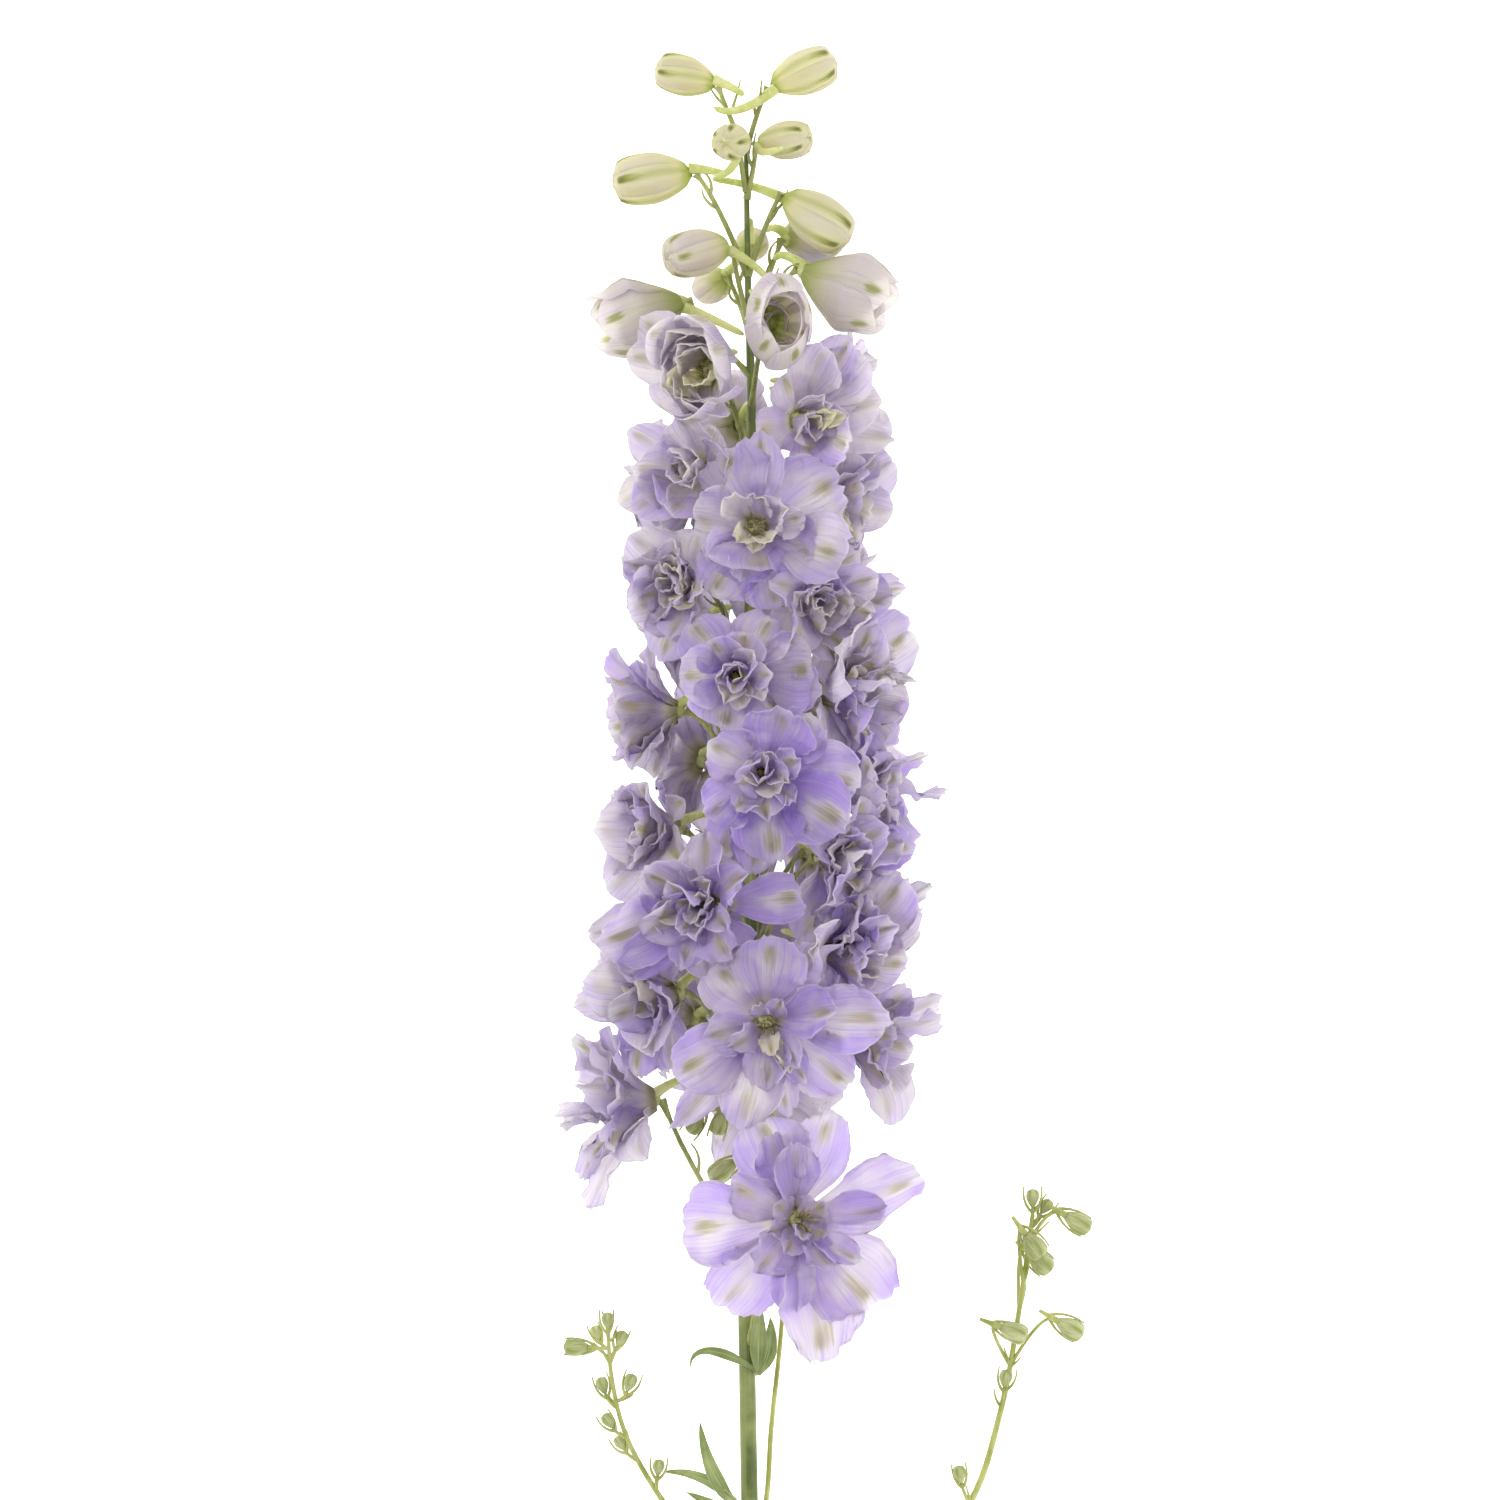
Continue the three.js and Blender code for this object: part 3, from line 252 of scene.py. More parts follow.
        (3, 11, 6, 15, -10, 30, 0.3), (-7, -12, 5, 10, 30, 30, -0.4), (-18, -1, 6, 18, -20, 40, 0.4),
        (-10, -11, 10, 19, -40, 40, 0.7), (-6, 13, 10, 15, -30, 40, 0.2), (6, 2, 14, 14, -40, 50, 0.8),
        (-9, -3, 12, 10, -20, 70, 0.7), (-8, 5, 14, 8, -30, 70, 0.2), (-2, 2, 15, 8, -20, 80, 0.4),
        (-5, 1, 15, 8, -20, 80, -0.3), (-4, -5, 13, 8, -10, 70, -0.3),
    ],
    "floret_35": [
        (25, -6, -2, 12, 10, 26, 0.02), (17, 16, 2, 15, 20, 26, 0.3), (22, 5, 0, 15, 10, 26, 0.1),
        (14, 20, 4, 12, 20, 30, 0.5), (8, -15, 4, 15, 40, 26, 0.7), (4, -10, 5, 18, 40, 26, 0.9),
        (-10, -4, 6, 14, 60, 30, 0.6), (-4, 10, 6, 12, 50, 30, 0.4), (8, 18, 10, 15, -10, 50, 0.3),
        (15, -8, 12, 16, -30, 50, 0.7), (7, 5, 12, 8, 5, 60, 0.2), (9, 3, 11, 8, 5, 60, 0.2),
        (1, -5, 13, 8, 20, 60, -0.2), (10, 0, 12, 5, 5, 60, -1.0), (13, -1, 11, 5, 5, 60, -1.0),
    ],
    "floret_37": [
        (-18, 13, 3, 15, 4, 30, 0.05), (-22, 4, 2, 12, 10, 30, 0.1), (-11, 8, 13, 18, -120, 36, 0.1),
        (-13, -4, 12, 18, -120, 36, 0.3), (-9, -8, 13, 19, -130, 36, 0.4),
        (-3, -9, 14, 16, -120, 40, 0.4), (0, 1, 16, 17, -120, 36, 0.4), (-3, 8, 15, 18, -130, 36, 0.2),
        (-8, 8, 13, 15, -90, 50, 0.2), (-4, 5, 14, 12, -70, 40, 0.4), (-10, -7, 12, 14, -70, 50, 0.3),
        (-9, 5, 13, 12, -60, 40, 0.2), (-9, 1, 13, 9, -30, 30, -0.3), (-7, -4, 13, 7, -20, 30, -1.0),
        (-12, -4, 11, 9, -40, 40, -0.8), (-3, -4, 13, 7, -30, 30, -1.0),
    ],
    "opening_bud_01": [
        (4, 1, 11, 10, -100, 50, 0.3), (0, 4, 12, 11, -100, 50, 0.2), (-3, -3, 13, 8, -60, 50, 0.1),
        (2, -6, 13, 8, -50, 50, -0.1), (0, -5, 12, 6, -50, 60, -0.4), (2, 0, 8, 8, -60, 60, -1.0),
        (-1, 1, 8, 7, -60, 60, -1.0),
    ],
}

# Flowers whose outer sepals wrap a cup: its radius and the radius of its mouth, as shares of the
# sepals' length, how much taller than wide it is, and how many whorls wrap it.
CUPS = {
    "floret_37": (0.56, 0.5, 1.15, 1),
    "opening_bud_01": (0.42, 0.25, 1.25, 2),
    "opening_bud_02": (0.36, 0.24, 1.0, 2),
    "opening_bud_03": (0.36, 0.22, 1.0, 2),
    "opening_bud_04": (0.38, 0.26, 1.0, 2),
}

# Leaf lobes: root, one or two bows and tip, and width.
LEAVES = [
    ((82, -1, 0.5), (90, -11, 4), (106, -13, 2), 4.2),
    ((82, -1, 0), (94, -10, 0), (93, -22.5, -2), 3.2),
    ((81, -1, 0), (84, -9, -5), (87, -16.5, -9), 2.8),
    ((82, 0, 1.5), (86, -5, 7), (90.5, -8.5, 9), 2.6),
    ((119, 2.2, 1.6), (123.5, -3, 5), (129, -15, 8), (121, -15.5, 6), 3.3),
    ((118.5, 2, 1.6), (126, 2.2, 6), (137.5, 2.6, 6), 5.0),
    ((118.5, 2.2, 1.4), (124, 6.4, 5), (133.5, 5.2, 4), 4.4),
    ((55, -1.5, 0), (60, -10, -4), (58, -19, -10), 3.4),
    ((55, -1.5, 0), (67, -6, 3), (74, -15, 2), 3.0),
    ((20, 1.5, 0), (22, 12, -3), (15, 24, -11), 3.6),
    ((20, 1.5, 0), (33, 6, 4), (44, 14, 5), 3.0),
]

# Side shoots: the line up the shoot, its radius there and there, and its small buds. A bud has
# how far up its stalk leaves the shoot, its base, the way that it looks and its length.
SHOOTS = {
    "side_shoot_right": (
        [
            (20, 1, 0), (27, 4, 0), (52, 28, -1), (85, 57.3, -2), (108, 65, -2), (135, 70, -1),
            (160, 73.5, 0),
        ],
        (1.15, 0.6),
        [
            (85, (90, 55, 1.5), (1, -0.2, 0.3), 4), (111, (115, 66, 2), (1, 0.15, 0.4), 4),
            (119, (131.5, 64, 4), (-0.35, 0.9, 0.25), 7.6), (120, (133, 79, 1), (-0.5, 0.85, 0.15), 7.6),
            (136, (150.5, 72, -5.5), (-0.65, 0.75, -0.2), 7.6),
            (141, (156, 70.8, 4), (-0.78, 0.58, 0.25), 7.6),
            (154, (160.5, 81, 0), (-0.5, 0.85, 0.1), 7.6), (158, (161.5, 73.5, 0.3), (1, 0, 0.1), 4),
            (156, (160, 75.5, -1.5), (0.8, 0.6, -0.2), 3.6),
        ],
    ),
    "side_shoot_left": (
        [
            (55, -1, 0), (61, -3.4, 0), (74, -14, -1), (86, -23, -1), (102, -32, 0), (118, -36, 1),
            (131, -37, 1),
        ],
        (0.9, 0.5),
        [
            (88, (92, -24, 1.5), (1, 0.1, 0.3), 3.6), (96, (98.5, -32.5, -1.5), (0.8, -0.5, -0.3), 3.4),
            (102, (104.5, -35.5, 1.5), (0.8, -0.5, 0.3), 3.6),
            (109, (113, -37.5, -1), (0.9, -0.3, -0.2), 3.8), (111, (114, -32, 2.5), (0.9, 0.3, 0.3), 4),
            (121, (125.5, -41, 1.5), (0.05, -1, 0.2), 6.5),
            (122, (125.5, -34.6, 0.5), (0.9, 0.4, 0), 3.6), (128, (130, -37, 1), (1, 0, 0.1), 3.6),
            (125, (127, -39, -1.5), (0.9, -0.4, -0.3), 3.4),
        ],
    ),
    "side_shoot_middle": (
        [
            (70, 0.8, -0.8), (84, 4, -2.4), (104, 5.5, -4), (128, 8, -6), (156, 9.5, -8), (180, 9, -8),
            (187, 5, -8),
        ],
        (0.75, 0.5),
        [
            (186, (186, -12, -8.5), (-0.8, -0.6, 0), 5), (186.5, (186.5, -7, -9), (-0.95, -0.3, 0.1), 5),
            (181, (174, -3, -8), (-0.55, -0.8, 0.1), 8),
        ],
    ),
}

# Rooms: petals bend at planes between their flower and its neighbours, in millimetres.
ROOM_OPEN = 0.4  # a flower less open than this keeps clear of no neighbour
OPPOSITE = 0.5  # flowers whose ways out add up to less than this never meet
ROOM_DEPTH = 0.25  # where two flowers meet, as a share of their sepals' length from the seat
ROOM_PAST = 3.0  # how far petals reach past a plane
POSED_PAST = 10.0  # the same for a flower whose petals are placed one by one
ROOM_SOFT = 4.0  # the depth over which they bend at a plane
FLOOR_SOFT = 1.5  # the same at the floor
OVERLAP_TILT = 0.9  # how much a plane leans, so that the lower flower lies over the upper one
OVERLAP_UP, OVERLAP_ROUND = 30, 45  # millimetres up the stem weigh as much as degrees round it
ROOM_LIFT = 0.65  # the share of the bend that is up and out, not back
ROOM_PRESS = 8.0  # a petal that would have to bend further is made shorter
SHORTEST = 0.6  # to no less than this share of its length
BACK_REACH = 1.6  # how far petals reach behind their flower's seat
FIRM_NEAR, FIRM_FAR = 3.0, 10.0  # petals stay firm this near the seat and bend freely this far out
FLOOR_CLEAR = 0.2  # the least height of a petal's middle

# Petals that are placed one by one.
POSED_LONGER, POSED_WIDER = 1.02, 1.1  # their real sizes in those of the table
POSED_LEVELS = [0.42, 0.6, 0.8]  # shares of the sepals' length at which a petal's whorl changes
TURN_UP = 0.9  # how far a petal that stands on edge twists its face up, in radians at its tip
FULL = 13  # a flower with this many of them needs none in its heart
BACKED = ("floret_09", "floret_17", "floret_22", "floret_32")  # others show behind these
OPEN_HEARTS = ("floret_01", "floret_06", "floret_30")  # their stamens show

# How deep the flowers' colour is, from 0 to 1.
CREAMY = 0.4  # the share of heart petals that are creamy
SIDE_PAINTED_LIGHT, BACK_PAINTED_LIGHT = 0.34, 0.2  # painted light: what flowers at the sides and at the back lose of it, paler as if lit through from behind
DEEPEST = (195, 225, 280, 330)  # where up the stem the flowers' colour deepens and lightens again
DEEPER = 0.25  # and by how much

# Rows and columns of the grids that petals and leaves are shaped from.
FINE, MEDIUM, COARSE, LOBE, TINY = (22, 16), (13, 10), (8, 6), (12, 6), (8, 4)
HIDDEN = 100  # flowers further round the stem than this get coarser petals
STEM_STEPS, SHOOT_STEPS = 90, 40  # points along a stem's line

SPURRED = 5  # a side shoot's bud longer than this has a spur
LARGE_BUD = 7.6  # the length of a bud whose spur has its full thickness

# Chance draws come from the far decimals of a sine.
SCATTER = 680.385988  # another number here gives other draws
STIR, STRETCH = 12.9898, 43758.5453


def chance(seed):
    """A number from 0 to 1 that depends only on its seed."""
    s = math.sin(seed * STIR + SCATTER) * STRETCH
    return s - math.floor(s)


def around(seed, spread):
    """A number from -spread to spread that depends only on its seed."""
    return (chance(seed) * 2 - 1) * spread


def lerp(low, high, share):
    """The value at a share of the way from low to high."""
    return low + (high - low) * share


def smooth(low, high, x):
    """0 below low, 1 above high and an even curve between."""
    k = np.clip((x - low) / (high - low), 0, 1)
    return k * k * (3 - 2 * k)


def unit(v):
    return v / np.linalg.norm(v)


def beside(up, right, above):
    """A point by the stem: how far up, to the right of the stem's line, and above it."""
    return np.array([STEM_X + right, CUT_Y + up, STEM_Z + above])


def stem_value(up, column):
    """A column of the stem's table at a distance up from the cut end."""
    return float(np.interp(up, [row[0] for row in STEM], [row[column] for row in STEM]))


def stem_point(up):
    """The middle of the stem at a distance up from the cut end."""
    return beside(up, stem_value(up, 1), 0)


class Head:
    """A flower or bud: where it is, which way it looks and how open it is."""

    def __init__(self, row, name, number):
        self.name, self.number = name, number
        self.up, self.round, self.reach, self.sepal, self.open, nod = row[:6]
        self.route = row[6:]
        turn, tilt = math.radians(self.round), math.radians(nod)
        self.outward = np.array([math.sin(turn), 0, math.cos(turn)])
        self.facing = self.outward * math.cos(tilt) + np.array([0, math.sin(tilt), 0])
        self.top = unit(np.array([0, 1, 0]) - self.facing * self.facing[1])
        self.across = np.cross(self.top, self.facing)
        self.base = stem_point(self.up) + self.outward * self.reach
        self.order = -self.up / OVERLAP_UP - abs(self.round) / OVERLAP_ROUND

    def meets(self):
        """Where it meets its neighbours."""
        return self.base + self.facing * self.sepal * ROOM_DEPTH

    def size(self):
        """How much room it takes beside a neighbour."""
        return self.sepal * lerp(0.3, 0.9, self.open)


def numbered(rows, word, first):
    """The heads of a table, named in its order. Their numbers are seeds and start at first."""
    return [Head(row, f"{word}_{k + 1:02d}", first + k) for k, row in enumerate(rows)]


FLORETS = numbered(FLOWERS, "floret", 1)
HALF_OPEN = numbered(OPENING, "opening_bud", 51)
CLOSED = numbered(BUDS, "bud", 71)
HEADS = FLORETS + HALF_OPEN + CLOSED

Plane = namedtuple("Plane", "normal at soft push")


def room_of(head):
    """The planes that a flower's petals bend away from, and which way they bend there."""
    down = np.array([0, 0, -1.0])
    planes = [
        Plane(down, 0.0, FLOOR_SOFT, -down),
        Plane(-head.facing, -head.base @ head.facing + BACK_REACH, 1.0, head.facing),
    ]
    for other in HEADS if head.open >= ROOM_OPEN else ():
        here = head.meets()
        between = other.meets() - here
        if other is head or np.linalg.norm(between) > head.sepal + other.sepal:
            continue
        out = head.outward + other.outward
        if np.linalg.norm(out) < OPPOSITE:
            continue
        out = unit(out)
        sideways = unit(between - out * (between @ out))
        over = 1 if head.order > other.order else -1
        normal = unit(sideways - out * OVERLAP_TILT * over)
        share = head.size() / (head.size() + other.size())
        lift = -out / (normal @ out)
        push = lerp(-normal, lift, ROOM_LIFT)
        at = normal @ (here + between * share)
        at += POSED_PAST if head.name in POSED else ROOM_PAST
        planes.append(Plane(normal, at, ROOM_SOFT, push))
    return planes


ROOMS = {head.name: room_of(head) for head in HEADS}


def into_room(points, head):
    """Bends points of a flower into its room, the more gently the deeper inside they are."""
    bent = points.copy()
    for _ in range(2):
        for plane in ROOMS[head.name]:
            depth = plane.at - bent @ plane.normal
            kept = (depth + np.hypot(depth, plane.soft)) / 2
            bent += np.outer(kept - depth, plane.push)
    firm = smooth(FIRM_NEAR, FIRM_FAR, np.linalg.norm(points - head.base, axis=1))
    bent = points + (bent - points) * firm[:, None]
    bent[:, 2] = np.maximum(bent[:, 2], FLOOR_CLEAR)
    return bent


# ---------------------------------------------------------------- petals


class Petal:
    """One petal of a whorl: its sizes and angles, each varied by a chance draw of its own.

    It grows from a ring round the flower's seat (high and root), leans out and bends on at its
    own pace, and its tip curls. Across, it is cupped, folded along its midrib and creased beside
    it. It tucks one edge under its neighbour, twists and sways. Its rim is ruffled and ragged,
    and ends in a beak or a blunt tip.
    """

    def __init__(self, head, whorl, level, index):
        seed = head.number * 61 + level * 17 + index * 3.1
        self.seed = seed
        opened = head.open
        self.length = head.sepal * whorl.long * (1 + around(seed, 0.1))
        width = lerp(0.92, 0.7, opened) * head.sepal * whorl.wide * whorl.long ** 0.3
        self.half = width * (1 + around(seed + 0.9, 0.22)) / 2
        self.claw = whorl.claw
        self.lean = math.radians(lerp(*whorl.lean, opened) + around(seed + 0.3, 4 + 6 * opened))
        end = lerp(*whorl.end, opened) + around(seed + 0.6, whorl.loose * opened + 2)
        self.bend = math.radians(end) - self.lean
        self.pace = 1 + around(seed + 5.1, 0.1 + 0.3 * opened)
        self.curl = math.radians(15 + around(seed + 3.3, 50)) * opened
        self.cup = math.radians(lerp(*whorl.cup, opened) + around(seed + 1.2, 12 + 14 * opened))
        self.fold = whorl.fold * chance(seed + 6.3) * opened
        self.tuck = math.radians(lerp(9, 8, opened))
        self.twist = around(seed + 2.1, 0.7) * opened
        step = (index + (level % 2) / 2) / whorl.count
        wander = around(seed + 1.5, 0.3) + around(head.number + 0.5, 0.25)
        self.turn = 2 * math.pi * step + wander
        self.sway = around(seed + 1.8, 0.22) * opened
        self.phase = chance(seed + 2.4) * 2 * math.pi
        self.ruffle = whorl.ruffle * lerp(0.3, 1, opened) * (1 + around(seed + 4.2, 0.5))
        self.ragged = 0.05 * opened**2
        self.beak = 0.07 * chance(seed + 8.4) ** 2 * opened
        self.blunt = chance(seed + 8.9) * opened
        self.lopsided = around(seed + 9.3, 0.8) * opened
        self.crease = 0.05 * opened * (1 + around(seed + 9.7, 0.6))
        self.high, self.root = whorl.high, whorl.root
        self.level = level
        self.depth = whorl.deep + around(seed + 7.7, 0.35)
        if level > 2 and chance(seed + 9.1) < CREAMY:
            self.depth = -chance(seed + 9.5)


class PosedPetal(Petal):
    """A petal whose place is listed."""

    def __init__(self, head, row, index):
        right, up, near, width, bow, cup, depth = row
        tip = np.array([right, up, near]) * POSED_LONGER
        share = np.linalg.norm(tip) / head.sepal
        level = len(POSED_LEVELS) - int(np.searchsorted(POSED_LEVELS, share))
        super().__init__(head, WHORLS[level], level, index)
        aside = np.array([tip @ head.top, tip @ head.across])
        self.turn = math.atan2(aside[1], aside[0])
        across = math.cos(self.turn) * head.across - math.sin(self.turn) * head.top
        self.twist = around(self.seed + 2.1, 0.5) * head.open - TURN_UP * across[2]
        along = tip @ head.facing - self.high
        out = max(np.linalg.norm(aside) - self.root, 0.5)
        half_bow = math.radians(bow) / 2
        self.length = math.hypot(along, out) * half_bow / math.sin(half_bow)
        self.half = width / 2 * POSED_WIDER
        self.lean = math.atan2(out, along) - half_bow
        self.bend = 2 * half_bow
        inner = level > 1 and head.open > ROOM_OPEN
        self.cup, self.depth = math.radians(cup * lerp(1, 0.6, inner)), depth
        self.pace, self.sway = 1, around(self.seed, 0.05 + 0.1 * inner)
        self.curl = math.radians(around(self.seed + 3.3, 25 + 30 * inner))
        self.half *= 1 + around(self.seed + 4.9, 0.25 * inner)
        self.fold = 0.5 * chance(self.seed + 6.3)


def ripple(t, phase, seed):
    """An uneven wave along an edge, between about -1 and 1."""
    return (
        0.5 * np.sin(2 * math.pi * 1.3 * t + phase)
        + 0.3 * np.sin(2 * math.pi * 2.9 * t + 2.3 * phase + seed)
        + 0.2 * np.sin(2 * math.pi * 6.1 * t + 5.1 * phase)
    )


def notches(t, phase):
    """Small uneven teeth along an edge, between about -1 and 1."""
    teeth = 0.6 * np.sin(2 * math.pi * 9.7 * t + phase) + 0.4 * np.sin(2 * math.pi * 17.3 * t)
    return teeth * (0.5 + 0.5 * np.sin(2 * math.pi * 2.3 * t + 1.7 * phase))


CORNER = 0.78  # where the sides of a petal's outline end and the outline of its tip begins
PAST_TIP = 1.15  # a petal's middle line goes on past its length, for teeth and beaks
FLATTEST = 0.02  # the least cup in radians
SHORTER = 0.06  # the share by which a petal that doesn't fit gets shorter, again and again
SHORT_WIDTH = 0.4  # the share of its width that this leaves alone


def outline(t, claw, blunt):
    """The width of a petal at a share of its length, as a share of its full width."""
    widest = lerp(0.54, 0.67, blunt)
    body = claw + (1 - claw) * smooth(0, widest, t)
    past = np.clip((t - widest) / (1 - widest), 0, 1)
    return body * np.power(np.clip(1 - past**2.1, 0, 1), lerp(0.72, 0.5, blunt))


def on_outline(petal, t, a):
    """Lays the blank on a petal's outline: the share of its length, and the half width there."""
    tip = np.linspace(CORNER, 1, 60)
    widths = outline(tip, petal.claw, petal.blunt)
    top = np.interp(np.abs(a) * widths[0], widths[::-1], tip[::-1])
    top = top + petal.beak * np.exp(-((a / 0.14) ** 2))
    top = top * (1 + petal.ragged * notches(0.5 + a / 3, petal.phase) * t**4)
    side = petal.ragged * notches(t + np.sign(a), petal.phase * 3) * a**4 * smooth(0.3, 0.6, t)
    return t * top, petal.half * outline(t * CORNER, petal.claw, petal.blunt) * (1 + side)


def petal_points(head, petal, t, a):
    """Points in the middle of a petal's thickness, before they bend into the room."""
    t, width = on_outline(petal, t, a)
    steps = np.linspace(0, PAST_TIP, 47)
    angles = petal.lean + petal.bend * steps**petal.pace + petal.curl * smooth(0.6, 1.1, steps)
    middle = (angles[1:] + angles[:-1]) / 2
    stride = petal.length * (steps[1] - steps[0])
    along = np.concatenate([[0], np.cumsum(np.cos(middle))]) * stride
    out = np.concatenate([[0], np.cumsum(np.sin(middle))]) * stride
    along, out, angle = (np.interp(t, steps, v) for v in (along, out, angles))
    cup = petal.cup * (1 - 0.6 * smooth(0.3, 1, t) * head.open)
    cup = np.where(np.abs(cup) < FLATTEST, FLATTEST, cup)
    arc = width * np.sin(cup * a) / cup
    side_of = np.sign(a)
    edge = np.abs(a) ** 1.3 * smooth(0.15, 0.5, t)
    wave = petal.ruffle * petal.length * edge * ripple(t, petal.phase + 2.2 * side_of, side_of)
    brim = 0.5 * petal.ruffle * petal.length * smooth(0.7, 1, t) * ripple(a, petal.phase, 1)
    keel = petal.fold * width * np.abs(a) * smooth(0.3, 0.9, t)
    pleats = petal.crease * width * np.sin(7.5 * a + petal.phase) * smooth(0.15, 0.6, t)
    bowl = width * (1 - np.cos(cup * a)) / cup * (1 + petal.lopsided * a)
    rise = bowl + wave + brim + keel + pleats
    tuck = petal.tuck * smooth(0, 0.4, t) + petal.twist * t
    side = arc * np.cos(tuck) - rise * np.sin(tuck) + petal.sway * petal.length * t**2
    lift = arc * np.sin(tuck) + rise * np.cos(tuck)
    away = head.top * math.cos(petal.turn) + head.across * math.sin(petal.turn)
    return (
        head.base
        + np.outer(petal.high + along + lift * np.sin(angle), head.facing)
        + np.outer(petal.root + out - lift * np.cos(angle), away)
        + np.outer(side, np.cross(away, head.facing))
    )


def cup_points(head, petal, t, a):
    """Points of a sepal that wraps a cup. One edge lies over its neighbour's edge."""
    wide, mouth, tall, _ = CUPS[head.name]
    size = head.sepal * (1 - 0.12 * petal.level)
    t, width = on_outline(petal, t, a)
    swell = np.clip(t / 0.56, 0, 1) ** 0.75 * lerp(wide, mouth, smooth(0.5, 1.1, t))
    flare = around(petal.seed + 3.3, 0.05) * smooth(0.75, 1, t)
    wave = 0.02 * a * a * ripple(t, petal.phase, petal.seed)
    radius = size * (swell + flare + wave * smooth(0.2, 0.6, t))
    radius = radius * (1 + 0.06 * a + 0.03 * (1 - a * a)) + 0.9 - 0.5 * petal.level
    spread = np.minimum(width / np.maximum(radius, 1), 1.1)
    turn = petal.turn + spread * a + 0.15 * t
    along = size * (0.05 + 0.93 * t + 0.03 * around(petal.seed + 1.1, 1) * t * t)
    return (
        head.base
        + np.outer(along, head.facing)
        + np.outer(radius * np.cos(turn) * tall, head.top)
        + np.outer(radius * np.sin(turn) / tall**0.5, head.across)
    )


def wraps(head, petal):
    """Whether a petal wraps its flower's cup. Those placed one by one stand free."""
    free = isinstance(petal, PosedPetal)
    return head.name in CUPS and not free and petal.level < CUPS[head.name][3]


def fitted(head, petal):
    """Shortens a petal until no part of it would have to bend far to stay in its room."""
    length, half = petal.length, petal.half
    tip_and_sides = np.array([[1, 0], [0.6, -1], [0.6, 1]], float)
    for share in np.arange(1, SHORTEST, -SHORTER):
        petal.length = length * share
        petal.half = half * (SHORT_WIDTH + (1 - SHORT_WIDTH) * share)
        points = petal_points(head, petal, tip_and_sides[:, 0], tip_and_sides[:, 1])
        depths = [plane.at - points @ plane.normal for plane in ROOMS[head.name]]
        if np.min(depths) > -ROOM_PRESS:
            break
    return petal


def select_only(*pieces):
    """Selects these objects and nothing else. The first is the active one."""
    bpy.ops.object.select_all(action="DESELECT")
    for piece in pieces:
        piece.select_set(True)
    bpy.context.view_layer.objects.active = pieces[0]


class Blank:
    """A flat grid to shape petals from: a goes across from -1 to 1, t along from 0 to 1."""

    def __init__(self, rows, columns):
        bpy.ops.object.select_all(action="DESELECT")
        bpy.ops.mesh.primitive_grid_add(x_subdivisions=columns, y_subdivisions=rows, size=2)
        self.form = bpy.context.object
        flat = np.array([v.co for v in self.form.data.vertices])
        self.a = flat[:, 0]
        self.t = (flat[:, 1] + 1) / 2

    def shaped(self, points, tint):
        """A copy of the blank with its points moved. tint is four numbers for the finish."""
        mesh = self.form.data.copy()
        mesh.vertices.foreach_set("co", (points * MM).astype(np.float32).ravel())
        marks = mesh.attributes.new("tint", "FLOAT_COLOR", "POINT")
        colours = np.tile(np.array(tint, np.float32), len(points))
        marks.data.foreach_set("color", colours)
        piece = bpy.data.objects.new("petal", mesh)
        bpy.context.scene.collection.objects.link(piece)
        return piece

    def clear(self):
        bpy.data.objects.remove(self.form)


def finished(name, parts, thickness, material, slot, *nodes):
    """Joins parts into one piece, gives it thickness and a finish, and lets it ride."""
    select_only(*parts)
    if len(parts) > 1:
        bpy.ops.object.join()
    piece = bpy.context.object
    piece.name = name
    piece.data.name = name
    if thickness:
        bpy.ops.object.modifier_add(type="SOLIDIFY")
        wall = piece.modifiers[-1]
        wall.thickness = thickness * MM
        wall.offset = 0
        wall.use_even_offset = False
        bpy.ops.object.modifier_apply(modifier=wall.name)
    bpy.ops.object.shade_smooth()
    piece.data.materials.clear()
    piece.data.materials.append(material)
    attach(piece, "root")
    if nodes:
        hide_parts(*nodes)


def tubes(name, lines, sides):
    """One mesh of round tubes. A line is its points and its radius at each of them."""
    bpy.ops.object.select_all(action="DESELECT")
    bpy.ops.curve.primitive_nurbs_path_add()
    curve = bpy.context.object
    curve.name = name
    curve.data.splines.clear()
    curve.data.bevel_depth = MM
    curve.data.bevel_resolution = sides
    curve.data.use_fill_caps = True
    for points, radii in lines:
        spline = curve.data.splines.new("POLY")
        spline.points.add(len(points) - 1)
        flat = np.ones((len(points), 4), np.float32)
        flat[:, :3] = np.array(points) * MM
        spline.points.foreach_set("co", flat.ravel())
        spline.points.foreach_set("radius", np.array(radii, np.float32))
    select_only(curve)
    bpy.ops.object.convert(target="MESH")
    return bpy.context.object


def finished_tubes(name, lines, finish, slot, *nodes, sides=2):
    """One piece of round tubes in a green finish."""
    finished(name, [tubes(name, lines, sides)], 0, green_material(finish), slot, *nodes)


def bezier(points, steps):
    """Points along a quadratic or cubic curve through the first and last of its points."""
    t = np.linspace(0, 1, steps + 1)[:, None]
    level = [np.array(p, float) + t * 0 for p in points]
    while len(level) > 1:
        level = [a + (b - a) * t for a, b in zip(level, level[1:])]
    return level[0]


def smooth_curve(x, y, at):
    """A smooth line through points: cubic, with slopes from the neighbouring points."""
    slopes = np.gradient(y, x)
    k = np.clip(np.searchsorted(x, at) - 1, 0, len(x) - 2)
    width = x[k + 1] - x[k]
    s = (at - x[k]) / width
    return (
        (1 + 2 * s) * (1 - s) ** 2 * y[k]
        + s * (1 - s) ** 2 * width * slopes[k]
        + s * s * (3 - 2 * s) * y[k + 1]
        + s * s * (s - 1) * width * slopes[k + 1]
    )


# ---------------------------------------------------------------- finishes

